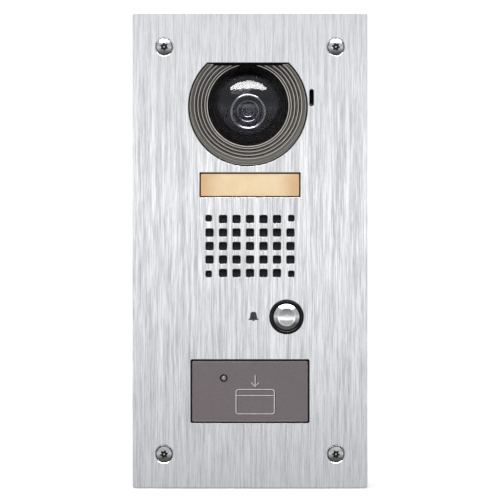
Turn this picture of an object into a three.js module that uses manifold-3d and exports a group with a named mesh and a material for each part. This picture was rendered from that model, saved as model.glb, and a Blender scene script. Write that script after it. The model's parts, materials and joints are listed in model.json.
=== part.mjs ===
// Flush-mounted door intercom panel: camera, name plate, speaker, call button and card reader
// behind one brushed steel faceplate, in its steel back box.
// Millimetres, +Z up. The panel looks along -Y and y = 0 is the surface of the wall.
// The origin is the centre of the wall opening, on that surface.

import * as THREE from "three";
import { mergeVertices } from "three/addons/utils/BufferGeometryUtils.js";
import Module from "manifold-3d";

const wasm = await Module();
wasm.setup();

// ---------------------------------------------------------------- driving dimensions

const air = 0.3; // clearance kept between pieces that touch or slide on the real object
const past = 1; // how far a cutting tool runs past the face that it cuts

const plate = { width: 135, height: 273, thickness: 2, corner: 1.5 };
const wallSeal = { thickness: 1.5, inset: 2, width: 9 };
const box = { overlap: 11.5, depth: 45, sheet: 1.2, corner: 2.5 };
const lug = { width: 11, height: 12.8, thickness: 2.4, setBack: 0.8 };
const screw = { radius: 2, head: 4.3, rise: 1, sunk: 0.05, seat: 0.4, length: 17 };
const screwInset = { x: 5.45, z: 6.8 };
const star = { lobes: 6, outer: 1.85, inner: 1.3, depth: 1.9, pin: 0.55 };
const knockout = { radius: 10, groove: 0.6, depth: 0.6, height: 24 };
const wallSlot = { width: 4.5, height: 11, x: 38, z: 88 };
const grommet = { bore: 6, hole: 9.5, lip: 12, thickness: 3, above: 27, x: 0 };

const seal = 0.8; // foam between the plate and each front piece's flange
const flange = 1.2;

const opening = { radius: 34.35, flat: 25.2, x: -1.2, belowTop: 53.8 };
const camera = { x: -1.1, aboveOpening: 1.1, lookDown: 10, lookUp: 12 }; // degrees either way
const funnel = { inner: 23, tread: 1.1, riser: 0.9, steps: 4, stepDepth: 1.5, rim: 1.9 };
const dome = { radius: 27.5, wall: 2, flange: 2, lip: 2, seal: 1.2 };
const bezel = { lap: 1.6, recess: 0.2, wall: 3 };
const shroud = { gap: 1.2, wall: 1.8, reach: 88, tubeWall: 1.1 };
const lens = { ring: 9.9, rim: 1, ringDepth: 1.5, barrel: 7, setIn: 2.1, back: 6, bevel: 0.4, seat: 2 };
const baffle = { steps: 4, depth: 1.1, lip: 0.4 };
const glassLens = { radius: 3.2, crown: 4.2 };
const sensor = { size: 26, thickness: 1.2 };
const bracket = { ring: 2, rim: 0.6, gap: 1.3, play: 0.1, earGap: 2.6, ear: 2.5, earHeight: 11 };
const trunnion = { radius: 2, boss: 4, root: 0.6, bossEnd: 1.2 };
const stake = { radius: 1.8, angle: 50, beyond: 4.7, tab: 6, height: 1 };

const slot = { width: 2.4, beside: 1.05, play: 0.2, below: 1.05 };
const lever = { thickness: 1.8, tip: 1.2, root: 5, intoSlot: 0.5 };

const nameplate = { width: 57.9, height: 14.1, corner: 0.5, lap: 1.6, belowTop: 98.8 };
const nameWindow = { recess: 0.2, card: 0.3 };
const nameLight = { guide: 7, ledGap: 0.2, led: [3.5, 1.2, 2.8], boardWidth: 68, postX: 32 };

const grille = { columns: 7, rows: 5, pitch: 7.75, hole: 4.4, corner: 0.9, belowTop: 134, end: 3.4 };
const mesh = { thickness: 0.5, margin: 3 };
const speaker = { radius: 20, rim: 2.4, lip: 2, lap: 1.5 };
const basket = { flange: 1.6, step: 1.8, depth: 7.9, sheet: 0.8, floor: 5 };
const magnet = { radius: 11.5, depth: 5.4, pole: 4, poleHeight: 1.9, gap: 0.2 };
const cone = { paper: 0.4, depth: 4, cap: 3.6, roll: 1.8 };
const speakerSeat = { wall: 1.5, depth: 3.5, gap: 0.1 };
const mic = { radius: 3, length: 5, boot: 4.5, hole: 1, bootDepth: 8, bootWall: 1.5 };

const button = { x: 21, belowTop: 174.7, wall: 1.65, lap: 2.45, proud: 0.6, edge: 0.35 };
const buttonTube = { depth: 6, floor: 2 };
const cap = { radius: 7.6, bevel: 2.4, flat: 0.2, chamfer: 1.15, dish: 0.3, proud: 1.35, skirt: 1.5 };
const press = 1; // how far the call button travels
const stem = { radius: 3, groove: 2.3, grooveLength: 0.8, end: 0.5, play: 0.1 };
const clip = { radius: 5, thickness: 0.5 };
const spring = { wire: 0.35, turns: 4 };
const call = { size: 6, height: 3.5, plunger: 1.7, travel: 0.3, play: 0.05, proud: 0.75, well: 2 };
const callBoard = { width: 32, height: 18 };

const reader = { width: 68.3, height: 36.5, corner: 1, lap: 3, aboveBottom: 55.6 };
const readerCover = { recess: 0.2, chamfer: 0.8 };
const readerLed = { x: -15.1, above: 7.6, radius: 1.5 };
const readerBody = { width: 76, height: 44, depth: 13.5, corner: 3 };
const readerLead = { radius: 4, height: 4, x: 22, drop: 16 };
const strap = { thickness: 1.2, height: 20, footY: 3, foot: 4.8, sideGap: 1 };

const chassis = { sideGap: 4.8, headroom: 0.7, below: 19.8, wall: 2 };
const clear = { swing: 0.35, lug: 1, lever: 1.5 }; // round the turning camera, the lugs and the lever
const stud = { radius: 1.5, length: 9, inset: 5.5, upper: 107, lower: 157 };
const nut = { radius: 3.1, height: 2.4 };
const boss = { radius: 3.2, inset: 5.5, upper: 6, lower: 4.5 };
const coverScrew = { radius: 1.3, head: 2.9, headHeight: 2, edge: 0.8, length: 12 };
const cross = { width: 0.8, length: 3.4, depth: 1 };
const post = { radius: 2.3, x: 37, inset: 4 };

const board = { halfWidth: 41, thickness: 1.6, setBack: 15.5, margin: 4 };
const cover = { thickness: 2, play: 0.1 };
const terminal = { width: 30, proud: 2.1, height: 12, ways: 6, up: 17, gap: 1 };
const terminalWay = { hole: 2.6, entry: 6, entryDepth: 4, screw: 1.6, screwDepth: 1.5, screwUp: 1 };
const volume = { size: 7, height: 3.5, floor: 1, radius: 2.2, slit: 0.8, x: 24, up: 30 };

// ---------------------------------------------------------------- places worked out from them

const top = plate.height / 2;
const bottom = -plate.height / 2;
const plateBack = -wallSeal.thickness;
const plateFront = plateBack - plate.thickness;
const flangeFront = plateBack + seal;
const chassisFront = flangeFront + flange;
const chassisFloor = chassisFront + chassis.wall;
const boardFront = chassisFloor + board.setBack;
const boardBack = boardFront + board.thickness;

const boxHalfWidth = plate.width / 2 - box.overlap;
const boxHalfHeight = plate.height / 2 - box.overlap;
const insideX = boxHalfWidth - box.sheet;
const insideZ = boxHalfHeight - box.sheet;
const grommetZ = -insideZ + grommet.above;
const lugX = insideX + box.sheet / 2 - lug.width / 2;
const lugZ = insideZ + box.sheet / 2 - lug.height / 2;
const screwX = insideX - screwInset.x;
const screwZ = insideZ - screwInset.z;
const screwCorners = [
  ["top_left", -1, 1],
  ["top_right", 1, 1],
  ["bottom_left", -1, -1],
  ["bottom_right", 1, -1],
];

const openingZ = top - opening.belowTop;
const cameraZ = openingZ + camera.aboveOpening;
const funnelFloor = plateFront + bezel.recess + funnel.rim + funnel.steps * funnel.stepDepth;
const pivotY = funnelFloor + Math.sqrt(dome.radius ** 2 - (funnel.inner - air) ** 2);
const domeInner = dome.radius - dome.wall;
const flangeStart = funnelFloor + dome.seal;
const flangeEnd = flangeStart + dome.flange;
const domeFlangeRadius = Math.sqrt(dome.radius ** 2 - (pivotY - flangeEnd) ** 2) + dome.lip;
const pocketRadius = domeFlangeRadius + air;
const neckRadius = pocketRadius + bezel.wall;
const shroudRadius = domeInner - shroud.gap;
const lensFront = shroudRadius - lens.setIn;
const earX = shroudRadius + bracket.earGap;
const bracketFront = flangeEnd + bracket.play;
const bracketBack = bracketFront + bracket.ring;
const shroudThere = Math.sqrt(shroudRadius ** 2 - (pivotY - bracketBack) ** 2);
const bracketInner = shroudThere + bracket.gap;
const bracketOuter = Math.max(neckRadius, earX + bracket.ear) + bracket.rim;
const stakeAngle = THREE.MathUtils.degToRad(stake.angle);
const stakeReach = bracketOuter + stake.beyond;
const stakeSpots = [-1, 1].map((side) => [
  camera.x + side * stakeReach * Math.sin(stakeAngle),
  cameraZ - stakeReach * Math.cos(stakeAngle),
]);
const swing = THREE.MathUtils.degToRad(camera.lookDown + camera.lookUp);
const leverReach = pivotY - plateBack + lever.intoSlot;
const slotX = opening.x + opening.radius + slot.beside + slot.width / 2;
const slotHeight = leverReach * Math.sin(swing) + lever.tip + 2 * slot.play;
const slotZ = cameraZ + slotHeight / 2 - slot.below;

const swungBack = pivotY + shroudRadius * Math.sin(THREE.MathUtils.degToRad(camera.lookUp));
const coverFront = swungBack + clear.swing;
const coverBack = coverFront + cover.thickness;

const nameZ = top - nameplate.belowTop;
const nameBack = chassisFront - nameWindow.card;
const guideBack = chassisFront + nameLight.guide;
const ledFront = guideBack + nameLight.ledGap;
const nameBoardFront = ledFront + nameLight.led[1];

const grilleZ = top - grille.belowTop;
const grilleHalfWidth = ((grille.columns - 1) * grille.pitch + grille.hole) / 2;
const grilleHalfHeight = ((grille.rows - 1) * grille.pitch + grille.hole) / 2;
const meshBack = plateBack + mesh.thickness;
const speakerFront = chassisFloor + speakerSeat.gap;
const speakerWindow = speaker.radius - speaker.lip;
const micX = -grilleHalfWidth + grille.end / 2;
const micZ = grilleZ - grilleHalfHeight + grille.end / 2;

const buttonZ = top - button.belowTop;
const buttonBore = cap.radius + air;
const buttonOuter = buttonBore + button.wall;
const buttonHole = buttonOuter + air;
const springRadius = (stem.radius + cap.radius) / 2;
const buttonFloor = chassisFront + buttonTube.depth;
const capBase = plateBack + cap.skirt;
const springSeat = buttonFloor - buttonTube.floor;
const clipFront = buttonFloor + stem.play;
const stemEnd = clipFront + stem.grooveLength + stem.end;
const plungerTip = stemEnd + press - call.travel + call.play;
const switchFront = plungerTip + call.proud;
const callBoardFront = switchFront + call.height;

const readerZ = bottom + reader.aboveBottom;
const readerBodyFront = chassisFront;
const readerBodyBack = readerBodyFront + readerBody.depth;

const chassisHalfWidth = insideX - chassis.sideGap;
const chassisTop = cameraZ + bracketOuter + chassis.headroom + chassis.wall;
const chassisBottom = buttonZ - chassis.below;
const notchX = lugX - lug.width / 2 - clear.lug;
const notchZ = lugZ - lug.height / 2 - clear.lug;
const bossX = chassisHalfWidth - boss.inset;
const studX = chassisHalfWidth - stud.inset;
const boardTop = nameZ + nameplate.height / 2 + board.margin;
const boardBottom = chassisBottom + board.margin;
const terminalZ = chassisBottom + terminal.up;
const volumeZ = chassisBottom + volume.up;
const bossSpots = [
  ["upper_left", -bossX, notchZ - boss.upper],
  ["upper_right", bossX, notchZ - boss.upper],
  ["lower_left", -bossX, chassisBottom + boss.lower],
  ["lower_right", bossX, chassisBottom + boss.lower],
];
const studSpots = [
  ["upper_left", -studX, top - stud.upper],
  ["upper_right", studX, top - stud.upper],
  ["lower_left", -studX, top - stud.lower],
  ["lower_right", studX, top - stud.lower],
];
const postSpots = [-1, 1].flatMap((side) => [
  [side * post.x, boardTop - post.inset],
  [side * post.x, boardBottom + post.inset],
]);

// ---------------------------------------------------------------- outlines, in x and z

// An outline is a list of points, anticlockwise seen from the front.
function arc(x, z, radius, from, to, steps) {
  return Array.from({ length: steps + 1 }, (_, i) => {
    const angle = from + ((to - from) * i) / steps;
    return new THREE.Vector2(x + radius * Math.cos(angle), z + radius * Math.sin(angle));
  });
}

function circle(x, z, radius, steps) {
  return arc(x, z, radius, 0, 2 * Math.PI, steps).slice(1);
}

function roundedRect(x, z, width, height, radius, steps = 2) {
  const left = x - width / 2 + radius;
  const right = x + width / 2 - radius;
  const low = z - height / 2 + radius;
  const high = z + height / 2 - radius;
  const quarter = Math.PI / 2;
  return [
    ...arc(right, low, radius, -quarter, 0, steps),
    ...arc(right, high, radius, 0, quarter, steps),
    ...arc(left, high, radius, quarter, 2 * quarter, steps),
    ...arc(left, low, radius, 2 * quarter, 3 * quarter, steps),
  ];
}

// A slot with round ends, taller than it is wide.
function uprightSlot(x, z, width, height, steps = 4) {
  const reach = (height - width) / 2;
  return [
    ...arc(x, z + reach, width / 2, 0, Math.PI, steps),
    ...arc(x, z - reach, width / 2, Math.PI, 2 * Math.PI, steps),
  ];
}

// The camera opening: a circle whose top is cut off by a straight edge.
function flatTopCircle(grow, steps = 30) {
  const radius = opening.radius + grow;
  const corner = Math.asin((opening.flat + grow) / radius);
  return arc(opening.x, openingZ, radius, Math.PI - corner, 2 * Math.PI + corner, steps);
}

// The chassis, with its upper corners stepped in round the lugs of the back box.
function chassisOutline(inset) {
  const x = chassisHalfWidth - inset;
  const high = chassisTop - inset;
  const low = chassisBottom + inset;
  const stepX = notchX - inset;
  const stepZ = notchZ - inset;
  const right = [[x, low], [x, stepZ], [stepX, stepZ], [stepX, high]];
  const left = right.map(([px, pz]) => [-px, pz]).reverse();
  return [...right, ...left].map(([px, pz]) => new THREE.Vector2(px, pz));
}

function starOutline() {
  return Array.from({ length: 2 * star.lobes }, (_, i) => {
    const radius = i % 2 ? star.inner : star.outer;
    const angle = (i * Math.PI) / star.lobes;
    return new THREE.Vector2(radius * Math.cos(angle), radius * Math.sin(angle));
  });
}

// Every hole of the speaker grille. The four at its corners are smaller and keep to the outside.
function grilleHoles() {
  const holes = [];
  const lastColumn = (grille.columns - 1) / 2;
  const lastRow = (grille.rows - 1) / 2;
  const shift = (grille.hole - grille.end) / 2;
  for (let column = -lastColumn; column <= lastColumn; column++) {
    for (let row = -lastRow; row <= lastRow; row++) {
      const isEnd = Math.abs(column) === lastColumn && Math.abs(row) === lastRow;
      const size = isEnd ? grille.end : grille.hole;
      const x = column * grille.pitch + (isEnd ? Math.sign(column) * shift : 0);
      const z = grilleZ + row * grille.pitch + (isEnd ? Math.sign(row) * shift : 0);
      holes.push(roundedRect(x, z, size, size, grille.corner, 1));
    }
  }
  return holes;
}

// ---------------------------------------------------------------- solids

// An outline in x and z with holes in it, drawn out along y from front to back.
function slab(outline, front, back, holes = []) {
  const shape = new THREE.Shape(outline);
  shape.holes = holes.map((points) => new THREE.Path(points));
  const drawn = new THREE.ExtrudeGeometry(shape, { depth: back - front, bevelEnabled: false });
  return drawn.rotateX(Math.PI / 2).translate(0, back, 0);
}

function block(x, z, width, height, front, back) {
  return new THREE.BoxGeometry(width, back - front, height).translate(x, (front + back) / 2, z);
}

// A turned solid round the y axis at x and z, from [radius, y] points in either order.
function turned(points, x = 0, z = 0, segments = 18) {
  const onAxis = points[0][0] === 0 && points[points.length - 1][0] === 0;
  const loop = onAxis ? points : [...points, points[0]];
  const area = loop.reduce((sum, [r, y], i) => {
    const [nextR, nextY] = loop[(i + 1) % loop.length];
    return sum + r * nextY - nextR * y;
  }, 0);
  const outward = area > 0 ? loop : [...loop].reverse();
  const profile = outward.map(([r, y]) => new THREE.Vector2(r, y));
  return new THREE.LatheGeometry(profile, segments).translate(x, 0, z);
}

function disc(x, z, radius, front, back, segments = 12) {
  return turned([[0, front], [radius, front], [radius, back], [0, back]], x, z, segments);
}

function ring(x, z, inner, outer, front, back, segments = 18) {
  const section = [[inner, front], [outer, front], [outer, back], [inner, back]];
  return turned(section, x, z, segments);
}

// Points of a circular arc in a turned profile, from one angle off the -y axis to another.
function sphereArc(radius, from, to, steps, centreY = 0) {
  return Array.from({ length: steps + 1 }, (_, i) => {
    const angle = from + ((to - from) * i) / steps;
    return [angle === 0 ? 0 : radius * Math.sin(angle), centreY - radius * Math.cos(angle)];
  });
}

function toSolid(geometry) {
  const bare = geometry.index ? geometry.toNonIndexed() : geometry.clone();
  bare.deleteAttribute("normal");
  bare.deleteAttribute("uv");
  const merged = mergeVertices(bare, 1e-4);
  const triVerts = new Uint32Array(merged.index.array);
  const vertProperties = merged.attributes.position.array;
  return new wasm.Manifold(new wasm.Mesh({ numProp: 3, vertProperties, triVerts }));
}

function toGeometry(solid) {
  const made = solid.getMesh();
  const geometry = new THREE.BufferGeometry();
  geometry.setAttribute("position", new THREE.BufferAttribute(made.vertProperties, 3));
  geometry.setIndex(new THREE.BufferAttribute(made.triVerts, 1));
  geometry.computeVertexNormals();
  return geometry;
}

function join(...geometries) {
  return toGeometry(geometries.map(toSolid).reduce((whole, piece) => whole.add(piece)));
}

function cut(geometry, ...tools) {
  return toGeometry(tools.map(toSolid).reduce((rest, tool) => rest.subtract(tool), toSolid(geometry)));
}

// ---------------------------------------------------------------- materials

function material(color, roughness, metalness = 0, opacity = 1) {
  return new THREE.MeshStandardMaterial({
    color,
    roughness,
    metalness,
    opacity,
    transparent: opacity < 1,
  });
}

const steel = material(0xc9cacd, 0.34, 1);
const brightSteel = material(0xd8d8d8, 0.12, 1);
const zinc = material(0x9fa3a6, 0.45, 0.9);
const blackPlastic = material(0x1a1a1b, 0.5);
const ridgedPlastic = material(0x3c3a3a, 0.42);
const foam = material(0x222222, 0.95);
const rubber = material(0x191919, 0.8);
const smokedDome = material(0x141416, 0.06, 0, 0.45);
const glass = material(0x101018, 0.03, 0, 0.6);
const amberWindow = material(0xe9cfa0, 0.3);
const card = material(0xf2e6cf, 0.8);
const clearPlastic = material(0xf4f4f4, 0.2, 0, 0.6);
const readerPlastic = material(0x6c6566, 0.55);
const boardGreen = material(0x1d5a36, 0.5);
const cloth = material(0x161616, 0.95);
const paperCone = material(0x2a2826, 0.9);
const terminalGreen = material(0x2f7d4b, 0.5);
const ledAmber = material(0xffb347, 0.3);

const panel = new THREE.Group();

function add(name, geometry, finish, parent = panel) {
  const piece = new THREE.Mesh(geometry, finish);
  piece.name = name;
  parent.add(piece);
}

// ---------------------------------------------------------------- faceplate, seal, back box

function faceplate() {
  const outline = roundedRect(0, 0, plate.width, plate.height, plate.corner);
  const holes = [
    flatTopCircle(0),
    uprightSlot(slotX, slotZ, slot.width, slotHeight),
    roundedRect(0, nameZ, nameplate.width, nameplate.height, nameplate.corner, 1),
    ...grilleHoles(),
    circle(button.x, buttonZ, buttonHole, 18),
    roundedRect(0, readerZ, reader.width, reader.height, reader.corner),
  ];
  const sheet = cut(
    slab(outline, plateFront, plateBack, holes),
    ...screwCorners.map(([, sideX, sideZ]) => countersink(sideX * screwX, sideZ * screwZ)),
  );
  const readerStuds = [-studX, studX].map((x) => ["reader", x, readerZ]);
  const studs = [...studSpots, ...readerStuds].map(([, x, z]) =>
    disc(x, z, stud.radius, plateBack - plate.thickness / 2, plateBack + stud.length, 10),
  );
  return join(sheet, ...studs);
}

function countersink(x, z) {
  const mouth = screw.head + screw.seat;
  const cone = [
    [0, plateFront - past],
    [mouth + past, plateFront - past],
    [mouth - plate.thickness - past, plateBack + past],
    [0, plateBack + past],
  ];
  return turned(cone, x, z, 20);
}

// Raised countersunk screw with a pin in its star-shaped recess.
function mountingScrew(x, z) {
  const rim = plateFront + screw.sunk;
  const crownRadius = (screw.head ** 2 + screw.rise ** 2) / (2 * screw.rise);
  const crownAngle = Math.asin(screw.head / crownRadius);
  const crownCentre = rim - screw.rise + crownRadius;
  const tip = rim + screw.length;
  const crown = sphereArc(crownRadius, 0, crownAngle, 3, crownCentre);
  const shank = [
    [screw.radius, rim + screw.head - screw.radius],
    [screw.radius, tip - 1],
    [screw.radius / 2, tip],
    [0, tip],
  ];
  const front = rim - screw.rise;
  const pin = circle(0, 0, star.pin, 6);
  const recess = slab(starOutline(), front - past, front + star.depth, [pin]);
  return cut(turned([...crown, ...shank], 0, 0, 12), recess).translate(x, 0, z);
}

function wallGasket() {
  const width = plate.width - 2 * wallSeal.inset;
  const height = plate.height - 2 * wallSeal.inset;
  const outline = roundedRect(0, 0, width, height, plate.corner, 1);
  const innerWidth = width - 2 * wallSeal.width;
  const innerHeight = height - 2 * wallSeal.width;
  const inside = roundedRect(0, 0, innerWidth, innerHeight, box.corner, 1);
  return slab(outline, plateBack, 0, [inside]);
}

// Folded steel box with screw lugs at its mouth and knockouts in its sides and rear.
function backBox() {
  const outer = roundedRect(0, 0, 2 * boxHalfWidth, 2 * boxHalfHeight, box.corner);
  const inner = roundedRect(0, 0, 2 * insideX, 2 * insideZ, box.corner - box.sheet);
  const floor = box.depth - box.sheet;
  const tray = cut(slab(outer, 0, box.depth), slab(inner, -past, floor));
  const lugs = screwCorners.map(([, sideX, sideZ]) => {
    const [x, z] = [sideX * lugX, sideZ * lugZ];
    return block(x, z, lug.width, lug.height, lug.setBack, lug.setBack + lug.thickness);
  });
  const tapped = screwCorners.map(([, sideX, sideZ]) =>
    disc(sideX * screwX, sideZ * screwZ, screw.radius + air, -past, box.depth / 2, 12),
  );
  const slots = screwCorners.map(([, sideX, sideZ]) => {
    const [x, z] = [sideX * wallSlot.x, sideZ * wallSlot.z];
    return slab(uprightSlot(x, z, wallSlot.width, wallSlot.height, 3), floor - past, box.depth + past);
  });
  const cableHole = disc(grommet.x, grommetZ, grommet.hole, floor - past, box.depth + past, 24);
  const quarter = Math.PI / 2;
  const knockouts = [-1, 1].flatMap((side) => [
    knockoutGroove().rotateX(side * quarter).translate(0, knockout.height, side * boxHalfHeight),
    knockoutGroove().rotateZ(-side * quarter).translate(side * boxHalfWidth, knockout.height, 0),
  ]);
  return cut(join(tray, ...lugs), ...tapped, ...slots, cableHole, ...knockouts);
}

// The groove round a push-out disc, cut inwards from a face that looks along +y.
function knockoutGroove() {
  const inner = knockout.radius - knockout.groove;
  return ring(0, 0, inner, knockout.radius, -knockout.depth, past, 12);
}

function cableGrommet() {
  const floor = box.depth - box.sheet;
  const lipThickness = (grommet.thickness - box.sheet) / 2;
  const section = [
    [grommet.bore, floor - lipThickness],
    [grommet.lip, floor - lipThickness],
    [grommet.lip, floor],
    [grommet.hole - air, floor],
    [grommet.hole - air, box.depth],
    [grommet.lip, box.depth],
    [grommet.lip, box.depth + lipThickness],
    [grommet.bore, box.depth + lipThickness],
  ];
  return turned(section, grommet.x, grommetZ, 20);
}

add("faceplate", faceplate(), steel);
for (const [corner, sideX, sideZ] of screwCorners) {
  add(`mounting_screw_${corner}`, mountingScrew(sideX * screwX, sideZ * screwZ), brightSteel);
}
add("wall_gasket", wallGasket(), foam);
add("back_box", backBox(), zinc);
add("cable_grommet", cableGrommet(), rubber);

// ---------------------------------------------------------------- camera window

// Notch that keeps the bezel's flange and its seal out of the tilt lever's way.
function leverNotch() {
  const left = slotX - slot.width / 2 - air;
  const width = slot.width + 4 * bezel.lap;
  return block(left + width / 2, slotZ, width, slotHeight + 4, plateFront - past, chassisFloor);
}

// Stepped funnel: sloping risers between flat treads, from the dome out to the rim.
function funnelTool() {
  const points = [[0, funnelFloor + past], [funnel.inner, funnelFloor + past]];
  for (let i = 0; i < funnel.steps; i++) {
    const radius = funnel.inner + i * (funnel.tread + funnel.riser);
    const y = funnelFloor - i * funnel.stepDepth;
    points.push([radius, y], [radius + funnel.riser, y - funnel.stepDepth]);
  }
  const edge = funnel.inner + funnel.steps * (funnel.tread + funnel.riser);
  const y = funnelFloor - funnel.steps * funnel.stepDepth;
  points.push([edge, y], [edge + funnel.rim, y - funnel.rim]);
  points.push([edge + funnel.rim, plateFront - past], [0, plateFront - past]);
  return turned(points, camera.x, cameraZ, 30);
}

function cameraBezel() {
  const body = join(
    slab(flatTopCircle(-air), plateFront + bezel.recess, chassisFront),
    slab(flatTopCircle(bezel.lap), flangeFront, chassisFront),
    disc(camera.x, cameraZ, neckRadius, flangeFront, flangeEnd, 30),
  );
  const pocket = disc(camera.x, cameraZ, pocketRadius, funnelFloor, flangeEnd + past, 30);
  return cut(body, funnelTool(), pocket, leverNotch());
}

function bezelGasket() {
  return cut(slab(flatTopCircle(bezel.lap), plateBack, flangeFront, [flatTopCircle(0)]), leverNotch());
}

function cameraDome() {
  const start = Math.acos((pivotY - flangeStart) / dome.radius);
  const inside = Math.acos((pivotY - flangeEnd) / domeInner);
  const outer = sphereArc(dome.radius, 0, start, 4, pivotY);
  const inner = sphereArc(domeInner, inside, 0, 4, pivotY);
  const rim = [[domeFlangeRadius, flangeStart], [domeFlangeRadius, flangeEnd]];
  return turned([...outer, ...rim, ...inner], camera.x, cameraZ, 24);
}

function domeSeal() {
  const inner = Math.sqrt(dome.radius ** 2 - (pivotY - flangeStart) ** 2) + air;
  return ring(camera.x, cameraZ, inner, domeFlangeRadius, funnelFloor, flangeStart, 24);
}

add("camera_bezel", cameraBezel(), ridgedPlastic);
add("bezel_gasket", bezelGasket(), foam);
add("camera_dome", cameraDome(), smokedDome);
add("dome_seal", domeSeal(), rubber);

// ---------------------------------------------------------------- camera on its trunnions

// Ring that holds the dome in the bezel, with a bearing ear on each side for the camera.
function cameraBracket() {
  const [front, back] = [bracketFront, bracketBack];
  const tabs = stakeSpots.map(([x, z]) => disc(x, z, stake.tab, front, back));
  const holes = stakeSpots.map(([x, z]) => disc(x, z, stake.radius + air, front - past, back + past));
  const ears = [-1, 1].map((side) => {
    const x = camera.x + side * (earX + bracket.ear / 2);
    return block(x, cameraZ, bracket.ear, bracket.earHeight, front, coverFront - air);
  });
  const bearing = disc(0, 0, trunnion.radius + air, -2 * earX, 2 * earX, 14)
    .rotateZ(Math.PI / 2)
    .translate(camera.x, pivotY, cameraZ);
  const plateRing = ring(camera.x, cameraZ, bracketInner, bracketOuter, front, back, 24);
  return cut(join(plateRing, ...ears, ...tabs), bearing, ...holes);
}

// The tilting pieces are drawn with the lens looking along -y from the pivot at the origin.
const tilting = new THREE.Group();
tilting.position.set(camera.x, pivotY, cameraZ);
tilting.rotation.x = THREE.MathUtils.degToRad(camera.lookDown);
panel.add(tilting);

// A disc on the x axis, between two distances out on one side.
function sideDisc(side, near, far, radius) {
  return disc(0, 0, radius, near, far, 14).rotateZ((-side * Math.PI) / 2);
}

// Round shroud that fills the dome behind the lens, with its lens tube and trunnions.
function cameraCradle() {
  const mouth = Math.asin((lens.barrel + air) / shroudRadius);
  const reach = THREE.MathUtils.degToRad(shroud.reach);
  const shell = turned(
    [
      ...sphereArc(shroudRadius, mouth, reach, 4),
      ...sphereArc(shroudRadius - shroud.wall, reach, mouth, 4),
    ],
    0,
    0,
    20,
  );
  const ledge = disc(0, 0, lens.ring + air, -dome.radius, -(lensFront - lens.ringDepth - air), 18);
  const tubeOuter = lens.ring + shroud.tubeWall;
  const tube = ring(0, 0, lens.barrel + air, tubeOuter, -(lensFront - lens.bevel), -lens.back);
  const bossNear = shroudRadius - shroud.wall - trunnion.root;
  const bossFar = shroudRadius + trunnion.bossEnd;
  const bosses = [-1, 1].map((side) => sideDisc(side, bossNear, bossFar, trunnion.boss));
  const pin = sideDisc(-1, shroudRadius, earX + bracket.ear + air, trunnion.radius);
  return cut(join(shell, tube, ...bosses, pin), ledge);
}

// Wide-angle lens barrel with a stepped baffle cone in front of the glass.
function lensBarrel() {
  const mouth = lens.ring - lens.rim;
  const width = (mouth - glassLens.radius) / baffle.steps;
  const steps = Array.from({ length: baffle.steps }, (_, i) => {
    const radius = mouth - i * width;
    const y = -lensFront + lens.bevel + i * baffle.depth;
    return [[radius, y], [radius - width + baffle.lip, y + baffle.lip]];
  }).flat();
  const ringBack = -(lensFront - lens.ringDepth);
  const rest = [
    [glassLens.radius + air, -lensFront + lens.bevel + baffle.steps * baffle.depth],
    [glassLens.radius + air, -lens.back - lens.seat],
    [glassLens.radius / 2, -lens.back - lens.seat],
    [glassLens.radius / 2, -lens.back],
    [lens.barrel, -lens.back],
    [lens.barrel, ringBack],
    [lens.ring, ringBack],
    [lens.ring, -lensFront + lens.bevel],
    [lens.ring - lens.bevel, -lensFront],
    [mouth, -lensFront],
  ];
  return turned([...steps, ...rest], 0, 0, 18);
}

function lensGlass() {
  const { radius, crown } = glassLens;
  const front = -lensFront + lens.bevel + (baffle.steps - 1) * baffle.depth;
  const back = -lens.back - lens.seat - air;
  const face = sphereArc(crown, 0, Math.asin(radius / crown), 4, front + crown);
  return turned([...face, [radius, back], [0, back]]);
}

// Thumb lever on the right-hand trunnion, whose tip stands in the slot of the faceplate.
function tiltLever() {
  const tip = lever.tip / 2;
  const root = lever.root / 2;
  const points = [
    new THREE.Vector2(-leverReach, -tip / 2),
    new THREE.Vector2(-leverReach + tip, -tip),
    new THREE.Vector2(-leverReach / 2, -tip),
    ...arc(0, 0, root, -Math.PI / 2, Math.PI / 2, 6),
    new THREE.Vector2(-leverReach / 2, tip),
    new THREE.Vector2(-leverReach + tip, tip),
    new THREE.Vector2(-leverReach, tip / 2),
  ];
  const arm = new THREE.ExtrudeGeometry(new THREE.Shape(points), {
    depth: lever.thickness,
    bevelEnabled: false,
  });
  // The arm's outline is drawn in y and z, and its thickness runs along x.
  const turn = new THREE.Matrix4().makeBasis(
    new THREE.Vector3(0, 1, 0),
    new THREE.Vector3(0, 0, 1),
    new THREE.Vector3(1, 0, 0),
  );
  const near = slotX - camera.x - lever.thickness / 2;
  arm.applyMatrix4(turn).translate(near, 0, 0);
  const shaftStart = shroudRadius + trunnion.bossEnd + air;
  const shaft = sideDisc(1, shaftStart, near + lever.thickness, trunnion.radius);
  return join(shaft, arm).translate(camera.x, pivotY, cameraZ);
}

function sensorBoard() {
  const front = -lens.back + air;
  return block(0, 0, sensor.size, sensor.size, front, front + sensor.thickness);
}

add("camera_bracket", cameraBracket(), blackPlastic);
add("camera_cradle", cameraCradle(), blackPlastic, tilting);
add("lens_barrel", lensBarrel(), blackPlastic, tilting);
add("lens_glass", lensGlass(), glass, tilting);
add("sensor_board", sensorBoard(), boardGreen, tilting);
add("tilt_lever", tiltLever(), blackPlastic);

// ---------------------------------------------------------------- name plate

function aroundNameplate(grow, corner = nameplate.corner) {
  return roundedRect(0, nameZ, nameplate.width + 2 * grow, nameplate.height + 2 * grow, corner, 1);
}

function nameWindowPane() {
  return join(
    slab(aroundNameplate(-air), plateFront + nameWindow.recess, nameBack),
    slab(aroundNameplate(nameplate.lap), flangeFront, nameBack),
  );
}

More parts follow.
